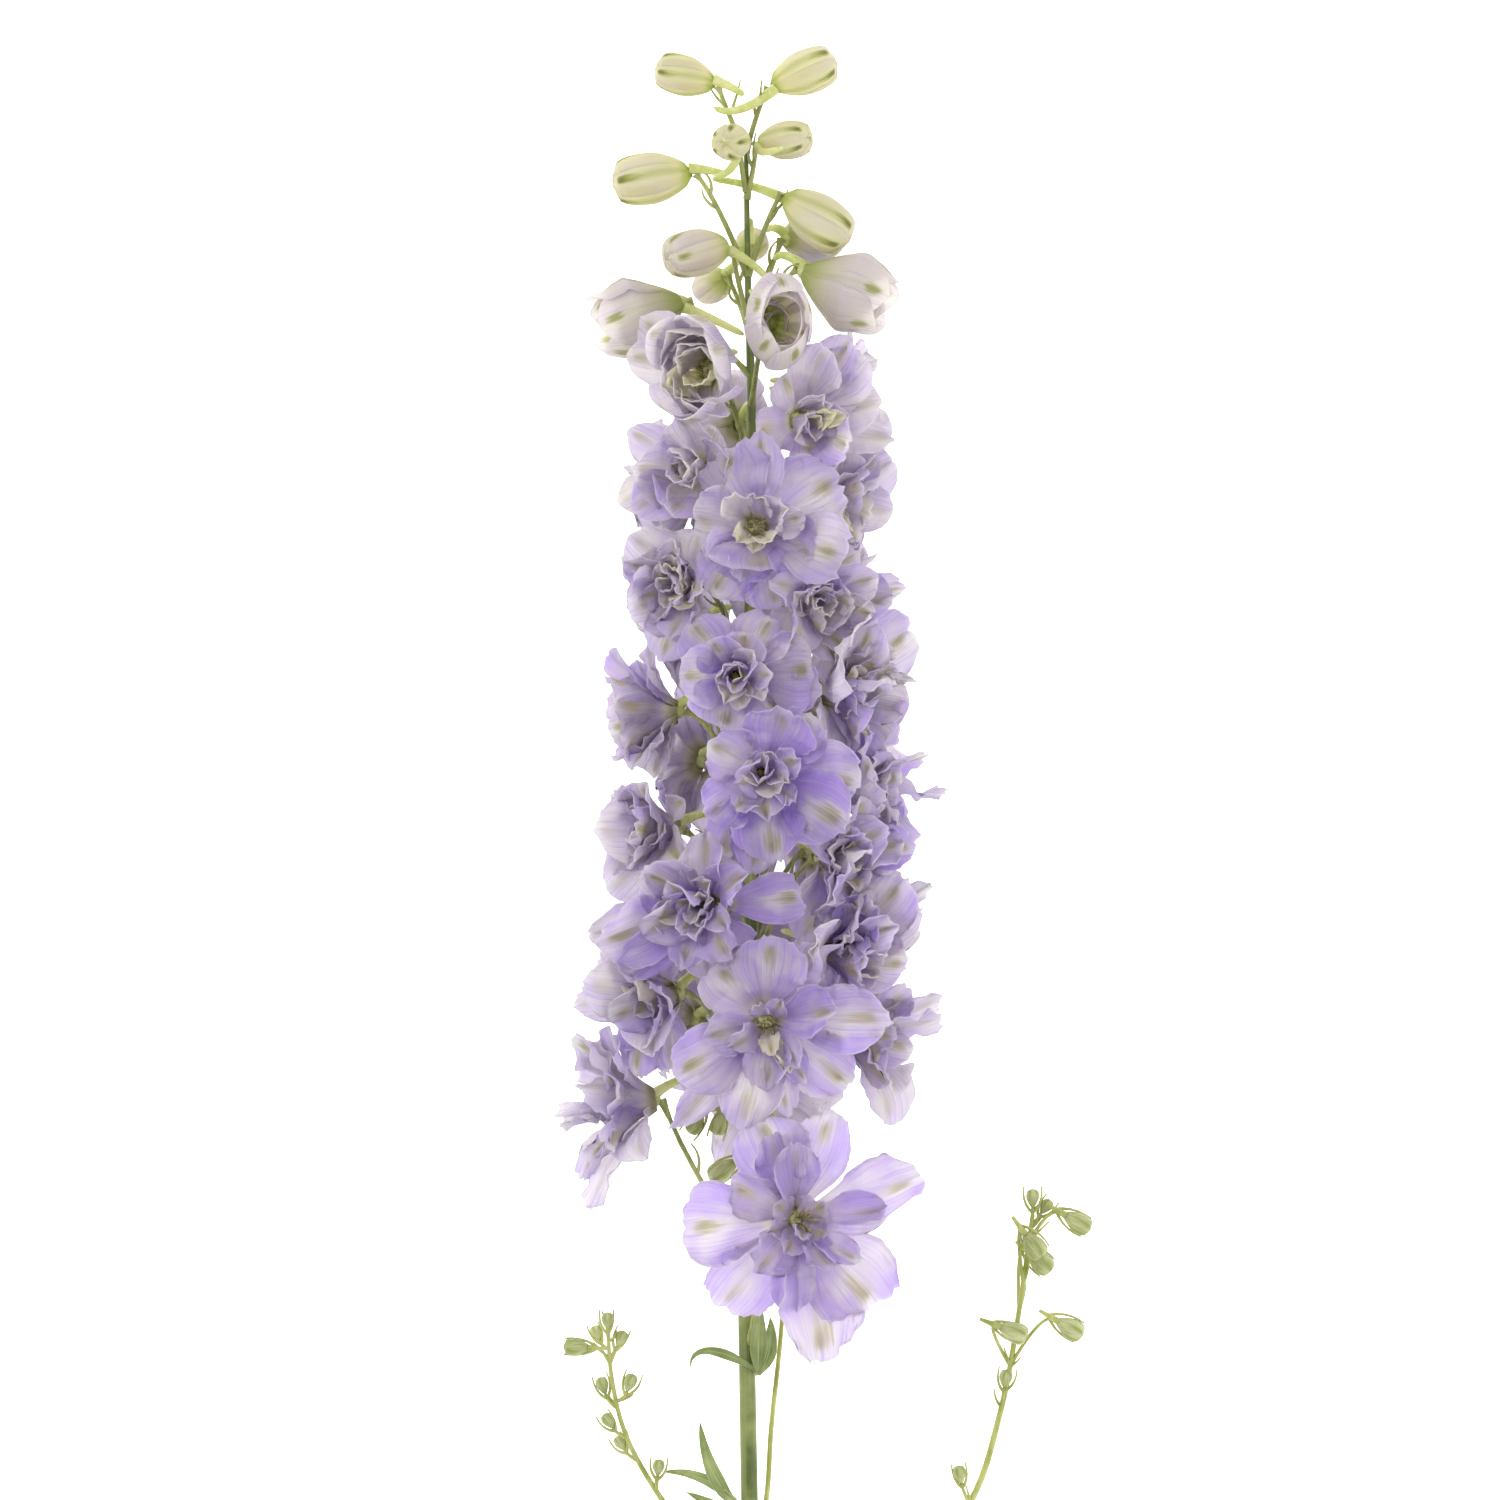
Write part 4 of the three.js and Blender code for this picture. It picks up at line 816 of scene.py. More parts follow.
PETAL_GLOSS = {"Roughness": 0.55, "Specular IOR Level": 0.25}
PETAL_THROUGH = 0.68  # the share of light that shines through a petal
GREEN_GLOSS = {"Roughness": 0.45}
PETAL_RELIEF, GREEN_RELIEF = (0.4, 0.0004), (0.3, 0.0002)  # a bump's strength, and its metres

# Patterns along a petal: how close they lie across, along and through it, then their scale,
# detail, roughness and distortion.
VEINS = ((24, 1.0, 1), 1.6, 3.0, 0.6, 0.3)
HAIR_VEINS = ((70, 3.0, 1), 1.2, 2.0, 0.6, 0.3)
STREAKS = ((30, 1.6, 1), 1.0, 2.0, 0.6, 0.3)
WASH = ((2.4, 1.8, 1), 1.3)
PATCHES = 37.0  # how far apart two petals read their patterns

# The greens: their fibres, as a petal's pattern but along the axes, the share of light that
# shines through, and for a blade, whose fibres follow its own length, what is drawn on it.
FIBRES = (1.0, 3.0, 0.6, 0.1)
BLADE_FIBRES = ((16, 1.2, 1), 1.0, 2.0, 0.6, 0.2)
GREENS = {
    "stem": (((800, 5, 800), *FIBRES), 0.15),
    "stalk": (((900, 40, 900), *FIBRES), 0.3),
    "spur": (((500, 500, 500), *FIBRES), 0.35),
    "leaf": (BLADE_FIBRES, 0.5, "midrib"),
    "young": (BLADE_FIBRES, 0.5, "mark"),
    "stamen": (((900, 900, 900), *FIBRES), 0.1),
    "shoot": (((800, 60, 800), *FIBRES), 0.3),
}


def paint(value):
    """A colour as a socket takes it. What comes from another node stays as it is."""
    return value if isinstance(value, bpy.types.NodeSocket) else (*value, 1.0)


class Finish:
    """A material, its shade so far and short ways to add nodes to it."""

    def __init__(self, name):
        self.material = bpy.data.materials.new(name)
        self.material.use_nodes = True
        self.tree = self.material.node_tree
        self.tree.nodes.clear()
        self.output = self.tree.nodes.new("ShaderNodeOutputMaterial")
        self.shade = None

    def add(self, kind, inputs=None, **settings):
        node = self.tree.nodes.new(kind)
        for key, value in settings.items():
            setattr(node, key, value)
        for key, value in (inputs or {}).items():
            socket = node.inputs[key]
            if isinstance(value, bpy.types.NodeSocket):
                self.tree.links.new(value, socket)
            else:
                socket.default_value = value
        return node

    def math(self, operation, *values):
        node = self.add("ShaderNodeMath", dict(enumerate(values)), operation=operation)
        return node.outputs[0]

    def times(self, first, second):
        return self.math("MULTIPLY", first, second)

    def ramp(self, value, rise, start):
        """The start, and rise times the value on top of it."""
        return self.math("MULTIPLY_ADD", value, rise, start)

    def most(self, first, second):
        return self.math("MAXIMUM", first, second)

    def step(self, value, low, high):
        """0 below low, 1 above high and smooth between. low may be above high."""
        inputs = {"Value": value, "From Min": low, "From Max": high}
        node = self.add("ShaderNodeMapRange", inputs, interpolation_type="SMOOTHSTEP")
        return node.outputs["Result"]

    def mix(self, share, first, second):
        inputs = {0: share, 6: paint(first), 7: paint(second)}
        return self.add("ShaderNodeMix", inputs, data_type="RGBA").outputs[2]

    def lay(self, share, tone):
        """Lays a tone over the shade, as strongly as share says."""
        self.shade = self.mix(share, self.shade, tone)

    def noise(self, vector, scale, detail=2.0, rough=0.5, distortion=0.0):
        inputs = {"Vector": vector, "Scale": scale, "Detail": detail}
        inputs.update({"Roughness": rough, "Distortion": distortion})
        return self.add("ShaderNodeTexNoise", inputs).outputs["Fac"]

    def grain(self, vector, stretch, *noise):
        """A noise that is stretched along one way."""
        node = self.add("ShaderNodeMapping", {"Vector": vector, "Scale": stretch})
        return self.noise(node.outputs["Vector"], *noise)

    def place(self):
        return self.add("ShaderNodeTexCoord").outputs["Object"]

    def blade(self):
        """The piece's UV map, how far off its midrib (0 to 0.5) and how far along it."""
        uv = self.add("ShaderNodeUVMap", uv_map="UVMap").outputs["UV"]
        split = self.add("ShaderNodeSeparateXYZ", {"Vector": uv})
        side = self.math("ABSOLUTE", self.math("SUBTRACT", split.outputs["X"], 0.5))
        return uv, side, split.outputs["Y"]

    def relief(self, height, strength, distance):
        inputs = {"Height": height, "Strength": strength, "Distance": distance}
        return {"Normal": self.add("ShaderNodeBump", inputs).outputs[0]}

    def surface(self, body, glow, through):
        """Ends the finish: the body and the light that shines through it, and their share."""
        body = self.add("ShaderNodeBsdfPrincipled", {"Base Color": self.shade, **body})
        glow = self.add("ShaderNodeBsdfTranslucent", glow)
        both = self.add("ShaderNodeMixShader", {0: through, 1: body.outputs[0], 2: glow.outputs[0]})
        self.finish(both)

    def finish(self, shader):
        self.tree.links.new(shader.outputs[0], self.output.inputs["Surface"])


def petal_finish(dye):
    """Thin, veined and let through by light, with a brown-green mark near each petal's tip.

    The mesh's tint gives how deep the petal's colour is, how creamy and how young it is, and how
    far inside the flower it grows.
    """
    f = Finish("petal_skin")
    uv, side, along = f.blade()
    tint = f.add("ShaderNodeAttribute", attribute_name="tint")
    parts = f.add("ShaderNodeSeparateColor", {"Color": tint.outputs["Color"]})
    depth, creamy, young = (parts.outputs[k] for k in ("Red", "Green", "Blue"))
    inner = f.step(tint.outputs["Alpha"], 0.3, 0.6)
    youth = f.step(young, 0.05, 0.95)
    bud = f.step(young, 0.8, 0.95)
    half_open = f.times(f.step(young, 0.6, 0.72), f.step(young, 0.9, 0.8))

    # Each petal reads its own patch of every pattern.
    patch = f.add("ShaderNodeCombineXYZ", {"Z": f.times(depth, PATCHES)})
    own = f.add("ShaderNodeVectorMath", {0: uv, 1: patch.outputs[0]}, operation="ADD").outputs[0]
    veins = f.grain(own, *VEINS)
    fine = f.grain(own, *HAIR_VEINS)
    streak = f.grain(own, *STREAKS)
    wash = f.grain(own, *WASH)
    cloud = f.noise(f.place(), 60.0)

    # Ground colours: open petals from pale to deep, with painted light paling the flowers at the sides
    # and at the back, washed out and flushed in patches.
    f.shade = f.mix(f.step(cloud, 0.38, 0.66), dye.lavender, dye.lilac)
    f.lay(f.times(f.step(depth, 0.5, 0.0), 0.5), dye.pale)
    f.lay(f.times(f.step(depth, 0.5, 1.0), 0.6), dye.violet)
    f.lay(f.times(f.step(wash, 0.48, 0.7), 0.35), dye.pale)
    f.lay(f.times(f.step(wash, 0.5, 0.3), 0.4), dye.lavender)

    # A pale halo round the mark, and young petals cream and pale.
    halo = f.times(f.step(side, 0.34, 0.04), f.step(along, 0.25, 0.65))
    halo = f.times(halo, f.ramp(f.step(wash, 0.4, 0.65), 0.4, 0.25))
    f.lay(halo, dye.pale)
    milk = f.times(f.step(young, 0.6, 1.0), f.ramp(f.step(cloud, 0.62, 0.42), 0.5, 0.5))
    f.lay(f.times(youth, 0.8), f.mix(milk, dye.young_petal, dye.cream))
    f.lay(f.times(f.times(halo, youth), f.ramp(half_open, -0.6, 0.9)), dye.cream)
    f.lay(f.step(creamy, 0.0, 0.3), dye.cream)

    # Veins fan out from the root, broad and hair-thin, with pale lines between them.
    strength = f.ramp(youth, -0.2, 0.5)
    tone = f.mix(bud, dye.violet, dye.claw)
    f.lay(f.times(f.step(veins, 0.5, 0.7), strength), tone)
    f.lay(f.times(f.step(fine, 0.5, 0.8), f.times(strength, 0.5)), tone)
    f.lay(f.times(f.step(veins, 0.48, 0.3), 0.3), dye.pale)

    # Lighter lilac on the inner petals is painted light, lifting the hearts that their outer petals
    # shade.
    # Rims are pale.
    f.lay(f.times(inner, 0.4), dye.lilac)
    rim = f.most(f.step(side, 0.465, 0.5), f.step(along, 0.965, 1.0))
    f.lay(f.times(rim, f.ramp(inner, -0.2, 0.35)), dye.pale)

    # Cream at the root, then brown-green in open petals and yellow-green in young ones.
    root = f.step(along, f.ramp(half_open, 0.3, 0.2), 0.05)
    root = f.mix(root, dye.cream, f.mix(youth, dye.throat, dye.claw))
    reach = f.ramp(half_open, 0.16, f.ramp(youth, 0.22, 0.26))
    claw = f.times(f.step(along, reach, 0.04), 0.85)
    rays = f.times(f.step(veins, 0.42, 0.62), f.step(along, 0.7, 0.2))
    f.lay(f.most(claw, f.times(f.times(rays, half_open), 0.7)), root)

    # The mark near the tip, frayed along the petal.
    breadth = f.ramp(inner, 0.08, f.ramp(half_open, -0.06, 0.2))
    low = f.ramp(inner, -0.12, f.ramp(half_open, 0.22, 0.44))
    near = f.times(f.step(along, low, 0.8), f.step(along, 0.99, 0.82))
    near = f.times(near, f.step(side, breadth, 0.0))
    frayed = f.ramp(f.math("SUBTRACT", streak, 0.5), 2.0, near)
    frayed = f.times(frayed, f.step(near, 0.02, 0.3))
    strong = f.ramp(f.step(wash, 0.35, 0.65), 0.6, 0.25)
    strong = f.most(strong, f.most(youth, f.times(inner, 0.75)))
    spot = f.mix(youth, f.mix(f.times(inner, 0.6), dye.mark, dye.heart_mark), dye.young_mark)
    f.lay(f.times(f.step(frayed, 0.2, 0.95), f.times(strong, 0.95)), spot)

    # Its darker core, and the keel from the mark to the root.
    core = f.times(f.step(along, 0.7, 0.82), f.step(along, 0.93, 0.84))
    core = f.times(core, f.step(side, f.ramp(bud, 0.06, 0.07), 0.0))
    dark = f.ramp(half_open, -0.15, f.ramp(bud, 0.4, 0.4))
    f.lay(f.times(core, f.times(strong, dark)), dye.core)
    keel = f.times(f.step(side, f.ramp(bud, 0.14, 0.04), 0.0), f.step(along, 0.95, 0.5))
    f.lay(f.times(keel, f.ramp(bud, 0.25, 0.22)), spot)

    height = f.math("ADD", f.times(veins, 0.7), f.times(fine, 0.3))
    relief = f.relief(height, *PETAL_RELIEF)
    # Light crosses two faces of a petal, so each takes only half of the colour.
    half = f.add("ShaderNodeGamma", {"Color": f.shade, "Gamma": 0.5}).outputs[0]
    f.surface({**PETAL_GLOSS, **relief}, {"Color": half, **relief}, PETAL_THROUGH)
    return f.material


def green_finish(name, dark, light, grain, through, drawn=None):
    """Green plant skin with fibres along it.

    On a blade either a pale midrib and rim are drawn, or a pale rim and a dark mark near its tip.
    """
    f = Finish(name)
    where = place = f.place()
    f.shade = f.mix(f.step(f.noise(place, 90.0, 3.0, 0.55), 0.3, 0.7), dark, light)
    if drawn:
        where, side, along = f.blade()
    if drawn == "midrib":
        rim = f.most(f.step(side, 0.07, 0.02), f.step(side, 0.46, 0.5))
        f.lay(f.times(rim, 0.8), light)
    if drawn == "mark":
        f.lay(f.times(f.step(side, 0.3, 0.5), 0.8), light)
        spot = f.times(f.step(side, 0.22, 0.04), f.step(along, 0.25, 0.75))
        spot = f.times(spot, f.step(along, 1.0, 0.88))
        f.lay(f.times(spot, 0.9), dark)
    fibres = f.grain(where, *grain)
    f.lay(f.times(f.step(fibres, 0.5, 0.65), 0.6), light)
    f.lay(f.times(f.step(fibres, 0.5, 0.35), 0.5), dark)
    relief = f.relief(fibres, *GREEN_RELIEF)
    f.surface({**GREEN_GLOSS, **relief}, {"Color": f.shade}, through)
    return f.material


def petal_material():
    """The petals' finish, made at its first use."""
    made = bpy.data.materials.get("petal_skin")
    return made or petal_finish(bpy.context.scene.spike_colours)


def green_material(part):
    """The finish of a green part in its dark and its light tone, made at its first use."""
    dye, name = bpy.context.scene.spike_colours, part + "_skin"
    tones = getattr(dye, part + "_dark"), getattr(dye, part + "_light")
    return bpy.data.materials.get(name) or green_finish(name, *tones, *GREENS[part])


# ---------------------------------------------------------------- pieces

# A spur starts before the flower's seat and beside it, bows back and up, and ends further back.
SPUR_ROOT, SPUR_BOW, SPUR_TIP = (1.7, 1.6), (4.4, 5), 6.6
SPUR_RADII = (1.6, 0.8)

# A pedicel leaves the stem this far below its flower, and more for a flower that reaches out.
# It comes to the flower from below, and flares at its foot and under the flower.
PEDICEL_DROP, PEDICEL_DROP_PER_REACH = 8, 1.05
PEDICEL_TILT = math.radians(25)
PEDICEL_RADII, PEDICEL_FLARES = (0.75, 0.56), (0.35, 0.75)

# Bracts: where on a pedicel, their least length and what chance adds, and their radii.
BRACTS_AT = (0.55, 0.68)
BRACT_LENGTH = (5, 3.5)
BRACT_RADII = np.linspace(0.52, 0.18, 7)
THREAD = np.linspace(0.46, 0.2, 6)  # those of a side shoot

STAMENS = 9
STAMEN_TURN = 2.4  # radians from one stamen to the next
STAMEN_ROOT = (3.5, 0.7)  # how far before the seat and off the axis they start
STAMEN_LENGTH = (0.12, 0.07)  # the least, and what chance adds, as shares of the sepals' length
STAMEN_SPREAD = (0.15, 0.3)  # the same for how far they lean out
STAMEN_LONGER = 1.3  # in an open heart
STAMEN_RADII = (0.16, 0.13, 0.12, 0.12, 0.3, 0.48, 0.42, 0.12)

# The seat: how far before the flower's base, and its radius there.
SEAT = ((0.2, 0.9), (1.2, 1.7), (2.8, 2.1), (4.2, 1.7), (5.0, 0.2))

GROWN_OPEN = (0.2, 0.75)  # how open a flower is while its petals turn from young to grown
YOUNG_UP = (335, 400)  # where up the stem petals begin to look young all the same
BUD_UP = (410, 440)  # where up the stem buds turn from young to youngest
BUD_SEPALS = 5
BUD_LONGER = 1.04  # a closed bud's length in lengths of its sepals
BUD_DROP, SHOOT_BUD_DROP = 0.3, 0.7  # how much buds are like a drop, with a narrow root


def spur_line(head):
    """The horn at the flower's back, above its pedicel."""
    usual = head.base - head.facing * SPUR_BOW[0] + head.top * SPUR_BOW[1]
    if len(head.route) > 2:
        bow, tip = (beside(*p) for p in head.route[2:4])
    else:
        bow, tip = usual, usual - head.facing * SPUR_TIP
    aside = bow - head.base
    aside = unit(aside - head.facing * (aside @ head.facing))
    root = head.base + head.facing * SPUR_ROOT[0] + aside * SPUR_ROOT[1]
    k = np.linspace(0, 1, 11)
    radii = lerp(*SPUR_RADII, k**0.6) * (1 - 0.5 * smooth(0.92, 1, k))
    return bezier([root, bow, tip], 10), radii


def pedicel_line(head):
    """A flower's stalk: it leaves the stem below the flower and bows out to it."""
    usual_foot = head.up - PEDICEL_DROP - head.reach * PEDICEL_DROP_PER_REACH
    foot = head.route[0] if head.route else usual_foot
    start = stem_point(foot)
    if head.route:
        controls = [start, beside(*head.route[1]), head.base]
    else:
        arriving = head.facing * math.cos(PEDICEL_TILT) + head.top * math.sin(PEDICEL_TILT)
        rising = start + head.outward * head.reach * 0.3
        rising = rising + np.array([0, (head.up - foot) * 0.5, 0])
        controls = [start, rising, head.base - arriving * head.reach * 0.4, head.base]
    k = np.linspace(0, 1, 15)
    at_foot, at_flower = PEDICEL_FLARES
    radii = lerp(*PEDICEL_RADII, k) + at_foot * (1 - smooth(0, 0.14, k))
    return bezier(controls, 14), radii + at_flower * smooth(0.88, 1, k)


def bract_lines(points, seed):
    """Thread-like bracts in a pair on a stalk."""
    lines = []
    for k, where in enumerate(BRACTS_AT):
        here = int(where * (len(points) - 1))
        at = points[here]
        way = unit(points[here + 1] - at)
        turn = chance(seed * 3.7 + k) * 6.28
        side = unit(np.cross(way, [math.cos(turn), 0.2, math.sin(turn)]))
        reach = BRACT_LENGTH[0] + BRACT_LENGTH[1] * chance(seed * 5.1 + k)
        bow = at + way * reach * 0.45 + side * reach * 0.45
        tip = at + way * reach * 0.95 + side * reach * (0.4 + around(seed + k, 0.4))
        lines.append((bezier([at, bow, tip], 6), BRACT_RADII))
    return lines


def thread_lines(start, foot, facing, across, length, seed):
    """The thread-like bracts of a small bud: two beside it and one where its stalk begins."""
    lines = []
    for side in (-1, 1):
        wide = side * lerp(0.5, 0.8, chance(seed + side)) * min(length, 5)
        root = foot - facing * length * 0.25
        bow = foot + facing * length * 0.3 + across * wide
        tip = foot + facing * min(length, 5) * 1.5 + across * wide * 0.8
        lines.append((bezier([root, bow, tip], 5), THREAD))
    way = unit(foot - start) * min(np.linalg.norm(foot - start), 6)
    aside = across * around(seed + 4.4, 2.5)
    lines.append((bezier([start, start + way * 0.4 + aside, start + way + aside], 5), THREAD))
    return lines


def stamen_lines(head):
    """Stamens in a flower's heart: a thread with a small oval head on each."""
    lines = []
    for k in range(STAMENS):
        seed = head.number * 3.3 + k * 1.7
        turn = STAMEN_TURN * k + chance(seed)
        away = head.top * math.cos(turn) + head.across * math.sin(turn)
        spread = STAMEN_SPREAD[0] + STAMEN_SPREAD[1] * chance(seed + 0.5)
        reach = head.sepal * (STAMEN_LENGTH[0] + STAMEN_LENGTH[1] * chance(seed + 0.9))
        reach *= STAMEN_LONGER if head.name in OPEN_HEARTS else 1
        root = head.base + head.facing * STAMEN_ROOT[0] + away * STAMEN_ROOT[1]
        tip = root + head.facing * reach + away * reach * spread
        bow = root + head.facing * reach * 0.6
        lines.append((bezier([root, bow, tip], 7), STAMEN_RADII))
    return lines


def petals_of(head, whorls):
    """A flower's petals: those placed one by one, and the others by the rule of its whorls."""
    posed = [PosedPetal(head, row, k) for k, row in enumerate(POSED.get(head.name, ()))]
    levels = range(len(whorls))
    if posed:
        wrapping = CUPS[head.name][3] if head.name in CUPS else head.name in BACKED
        first = 2 if len(posed) < FULL else 4
        bare = head.name in CUPS or head.name in OPEN_HEARTS
        levels = [*range(wrapping), *(() if bare else range(first, len(whorls)))]
    return posed + [
        fitted(head, Petal(head, whorls[level], level, index))
        for level in levels
        for index in range(whorls[level].count)
    ]


def seat_line(head):
    """The small green seat that a flower's petals grow from."""
    return [head.base + head.facing * k for k, _ in SEAT], [radius for _, radius in SEAT]


def flower_parts(head, blanks, whorls):
    """A flower's petals, each shaped from a blank and bent into the flower's room."""
    large, small = blanks[abs(head.round) > HIDDEN]
    young = 1 - smooth(*GROWN_OPEN, head.open)
    young = max(0.75 * float(young), 0.6 * float(smooth(*YOUNG_UP, head.up)))
    middle = DEEPER * float(smooth(*DEEPEST[:2], head.up) - smooth(*DEEPEST[2:], head.up))
    parts = []
    for petal in petals_of(head, whorls):
        blank = large if petal.level < 2 else small
        shape = cup_points if wraps(head, petal) else petal_points
        points = into_room(shape(head, petal, blank.t, blank.a), head)
        # Flowers at the sides and at the back are paled, as painted light for the light that shines
        # through them.
        behind = SIDE_PAINTED_LIGHT * math.hypot(head.outward[0], min(head.outward[2], 0))
        behind += BACK_PAINTED_LIGHT * max(-head.outward[2], 0)
        depth = petal.depth - behind + middle
        tint = min(max(depth, 0.02), 1), 0.3 * max(-petal.depth, 0), young, petal.level / 4
        parts.append(blank.shaped(points, tint))
    return parts


def add_flowers(context, heads, whorls, slot):
    """Adds the petals of these flowers, one piece for each flower."""
    blanks = (Blank(*FINE), Blank(*MEDIUM)), (Blank(*MEDIUM), Blank(*COARSE))
    thickness = context.scene.spike_sizes.petal_thickness
    for head in heads:
        parts = flower_parts(head, blanks, whorls)
        finished(head.name + "_petals", parts, thickness, petal_material(), slot, head.name)
    for blank in (*blanks[0], *blanks[1]):
        blank.clear()


def bud_points(base, facing, top, across, length, seed, index, t, a, drop):
    """Points of one sepal that wraps a closed bud. One edge tucks under the next sepal.

    Drop is how much the bud is like a drop, with a narrow root.
    """
    t = t * (1 - 0.05 * a * a)
    widest = 0.47 + 0.13 * drop
    past = np.abs(t - widest) / lerp(widest, 1 - widest, t > widest)
    radius = 0.265 * length * np.power(np.clip(1 - past**2.5, 0, 1), 0.55)
    radius = radius * lerp(1, lerp(0.3, 1.1, smooth(0, widest, t)), drop)
    radius = radius * (1 + 0.05 * a * smooth(0, 0.3, t)) + 0.02 * length * (1 - a * a)
    along = length * (0.04 + t - 0.09 * smooth(0.8, 1, t))
    turn = 2 * math.pi * (index / BUD_SEPALS + 0.14 * a) + 0.5 * t * (1 + around(seed, 0.5))
    away = np.outer(np.cos(turn), top) + np.outer(np.sin(turn), across)
    return base + np.outer(along, facing) + away * radius[:, None]


def bud_parts(base, facing, top, across, length, seed, blank, young, drop):
    """The sepals of a closed bud, each shaped from a blank."""
    parts = []
    for index in range(BUD_SEPALS):
        points = bud_points(base, facing, top, across, length, seed, index, blank.t, blank.a, drop)
        parts.append(blank.shaped(points, (chance(seed + index * 1.3), 0, young, 0)))
    return parts


def leaf_points(line, wide, t, a, seed):
    """Points of a leaf lobe, folded a little along its midrib and waved at its edges."""
    steps = bezier(line, 40)
    grid = np.linspace(0, 1, 41)
    middle = np.stack([np.interp(t, grid, steps[:, k]) for k in range(3)], 1)
    ways = np.gradient(steps, axis=0)
    way = np.stack([np.interp(t, grid, ways[:, k]) for k in range(3)], 1)
    way /= np.linalg.norm(way, axis=1)[:, None]
    side = np.cross(way, [0, 0, 1.0])
    side /= np.linalg.norm(side, axis=1)[:, None]
    up = np.cross(side, way)
    taper = 1.6 if len(line) > 3 else 3
    width = wide / 2 * (0.2 + 0.8 * smooth(0, 0.5, t)) * np.clip(1 - t**taper, 0, 1) ** 0.9
    rise = 0.35 * width * np.abs(a) + 0.12 * wide * np.abs(a) * np.sin(9 * t + seed + 2 * a)
    return middle + side * (width * a)[:, None] + up * rise[:, None]


def shoot_bud(start, base, way, length, seed, blank):
    """A side shoot's small bud: its stalk, bracts and, on a longer one, its spur; and its sepals."""
    up, right, near = way
    facing = unit(np.array([right, up, near], float))
    foot = beside(*base)
    top = unit(np.array([0, 0, 1.0]) - facing * facing[2])
    across = np.cross(top, facing)
    stalk = bezier([start, foot - facing * length * 0.5, foot + facing * 0.3], 10)
    lines = [(stalk, np.linspace(0.5, 0.42, 11))]
    lines += thread_lines(start, foot, facing, across, length, seed)
    spurred = length > SPURRED
    if spurred:
        root = foot + facing * length * 0.15 + top * 0.8
        bow = foot - facing * length * 0.15 + top * length * 0.32
        tail = foot - facing * length * 0.55 + top * length * 0.3
        lines.append((bezier([root, bow, tail], 8), np.linspace(0.95, 0.45, 9) * length / LARGE_BUD))
    size = length * lerp(1.35, 1.2, spurred)
    return lines, bud_parts(foot, facing, top, across, size, seed, blank, 1.0, SHOOT_BUD_DROP)


def shoot_tip(points):
    """The three thread-like leaves that end a side shoot."""
    way = unit(points[-1] - points[-2])
    lines = []
    for k in (-1, 0, 1):
        tip = points[-1] + way * (3.4 - 0.6 * k) + np.array([k * 1.3, 0, 0.4 * k])
        lines.append((bezier([points[-1], points[-1] + way * 1.5, tip], 5), THREAD))
    return lines


class SpikeSizes(bpy.types.PropertyGroup):
    """Thicknesses of the plant's thin parts."""

    petal_thickness: FloatProperty(
        name="Petal thickness", description="In millimetres", default=0.22, min=0.05
    )
    leaf_thickness: FloatProperty(
        name="Leaf thickness", description="In millimetres", default=0.35, min=0.05
    )


def colour_property(name, description, default):
    return FloatVectorProperty(
        name=name, description=description, default=default, size=3, subtype="COLOR", min=0, max=1
    )


class SpikeColours(bpy.types.PropertyGroup):
    """The plant's colours."""

    lavender: colour_property("Lavender", "The petals' main colour", (0.57, 0.45, 0.79))
    lilac: colour_property("Lilac", "Warmer patches on the petals", (0.68, 0.6, 0.71))
    pale: colour_property("Pale lilac", "The petals' rims and washed patches", (0.8, 0.79, 0.73))
    young_petal: colour_property("Young petal", "Petals that just open", (0.92, 0.87, 0.87))
    violet: colour_property("Violet", "Veins and the darkest petals", (0.41, 0.27, 0.71))
    cream: colour_property("Cream", "Young petals and the flowers' hearts", (0.93, 0.9, 0.6))
    claw: colour_property("Claw green", "The roots of young petals", (0.62, 0.7, 0.18))
    throat: colour_property("Throat", "The petals' roots in open flowers", (0.46, 0.44, 0.22))
    mark: colour_property("Mark", "The mark near a petal's tip", (0.46, 0.41, 0.22))
    heart_mark: colour_property("Heart mark", "The mark on inner petals", (0.62, 0.56, 0.24))
    core: colour_property("Core", "The dark middle of a mark", (0.16, 0.14, 0.07))
    young_mark: colour_property("Young mark", "The mark on young petals", (0.42, 0.47, 0.12))
    stem_dark: colour_property("Stem dark", "The stem in its grooves", (0.085, 0.12, 0.02))
    stem_light: colour_property("Stem light", "The stem's ridges", (0.28, 0.32, 0.1))
    stalk_dark: colour_property("Stalk dark", "The flowers' stalks", (0.26, 0.29, 0.08))
    stalk_light: colour_property("Stalk light", "The stalks' lighter green", (0.52, 0.54, 0.2))
    spur_dark: colour_property("Spur dark", "The spurs' darker green", (0.58, 0.64, 0.2))
    spur_light: colour_property("Spur light", "The spurs' yellow-green", (0.84, 0.83, 0.46))
    young_dark: colour_property("Young bud dark", "Small buds' darker green", (0.42, 0.48, 0.13))
    young_light: colour_property("Young bud light", "Small buds' lighter green", (0.86, 0.87, 0.54))
    stamen_dark: colour_property("Stamen dark", "The stamens' brown", (0.13, 0.1, 0.06))
    # Partly painted shade: the stamens' olive is darker than their own colour, for the shade in the
    # hearts.
    stamen_light: colour_property("Stamen light", "The stamens' olive", (0.31, 0.25, 0.13))
    leaf_dark: colour_property("Leaf dark", "The leaves' darker green", (0.26, 0.33, 0.11))
    leaf_light: colour_property("Leaf light", "The leaves' lighter green", (0.56, 0.61, 0.32))
    shoot_dark: colour_property("Shoot dark", "The side shoots' darker green", (0.36, 0.39, 0.08))
    shoot_light: colour_property("Shoot light", "The side shoots' lighter green", (0.6, 0.62, 0.24))


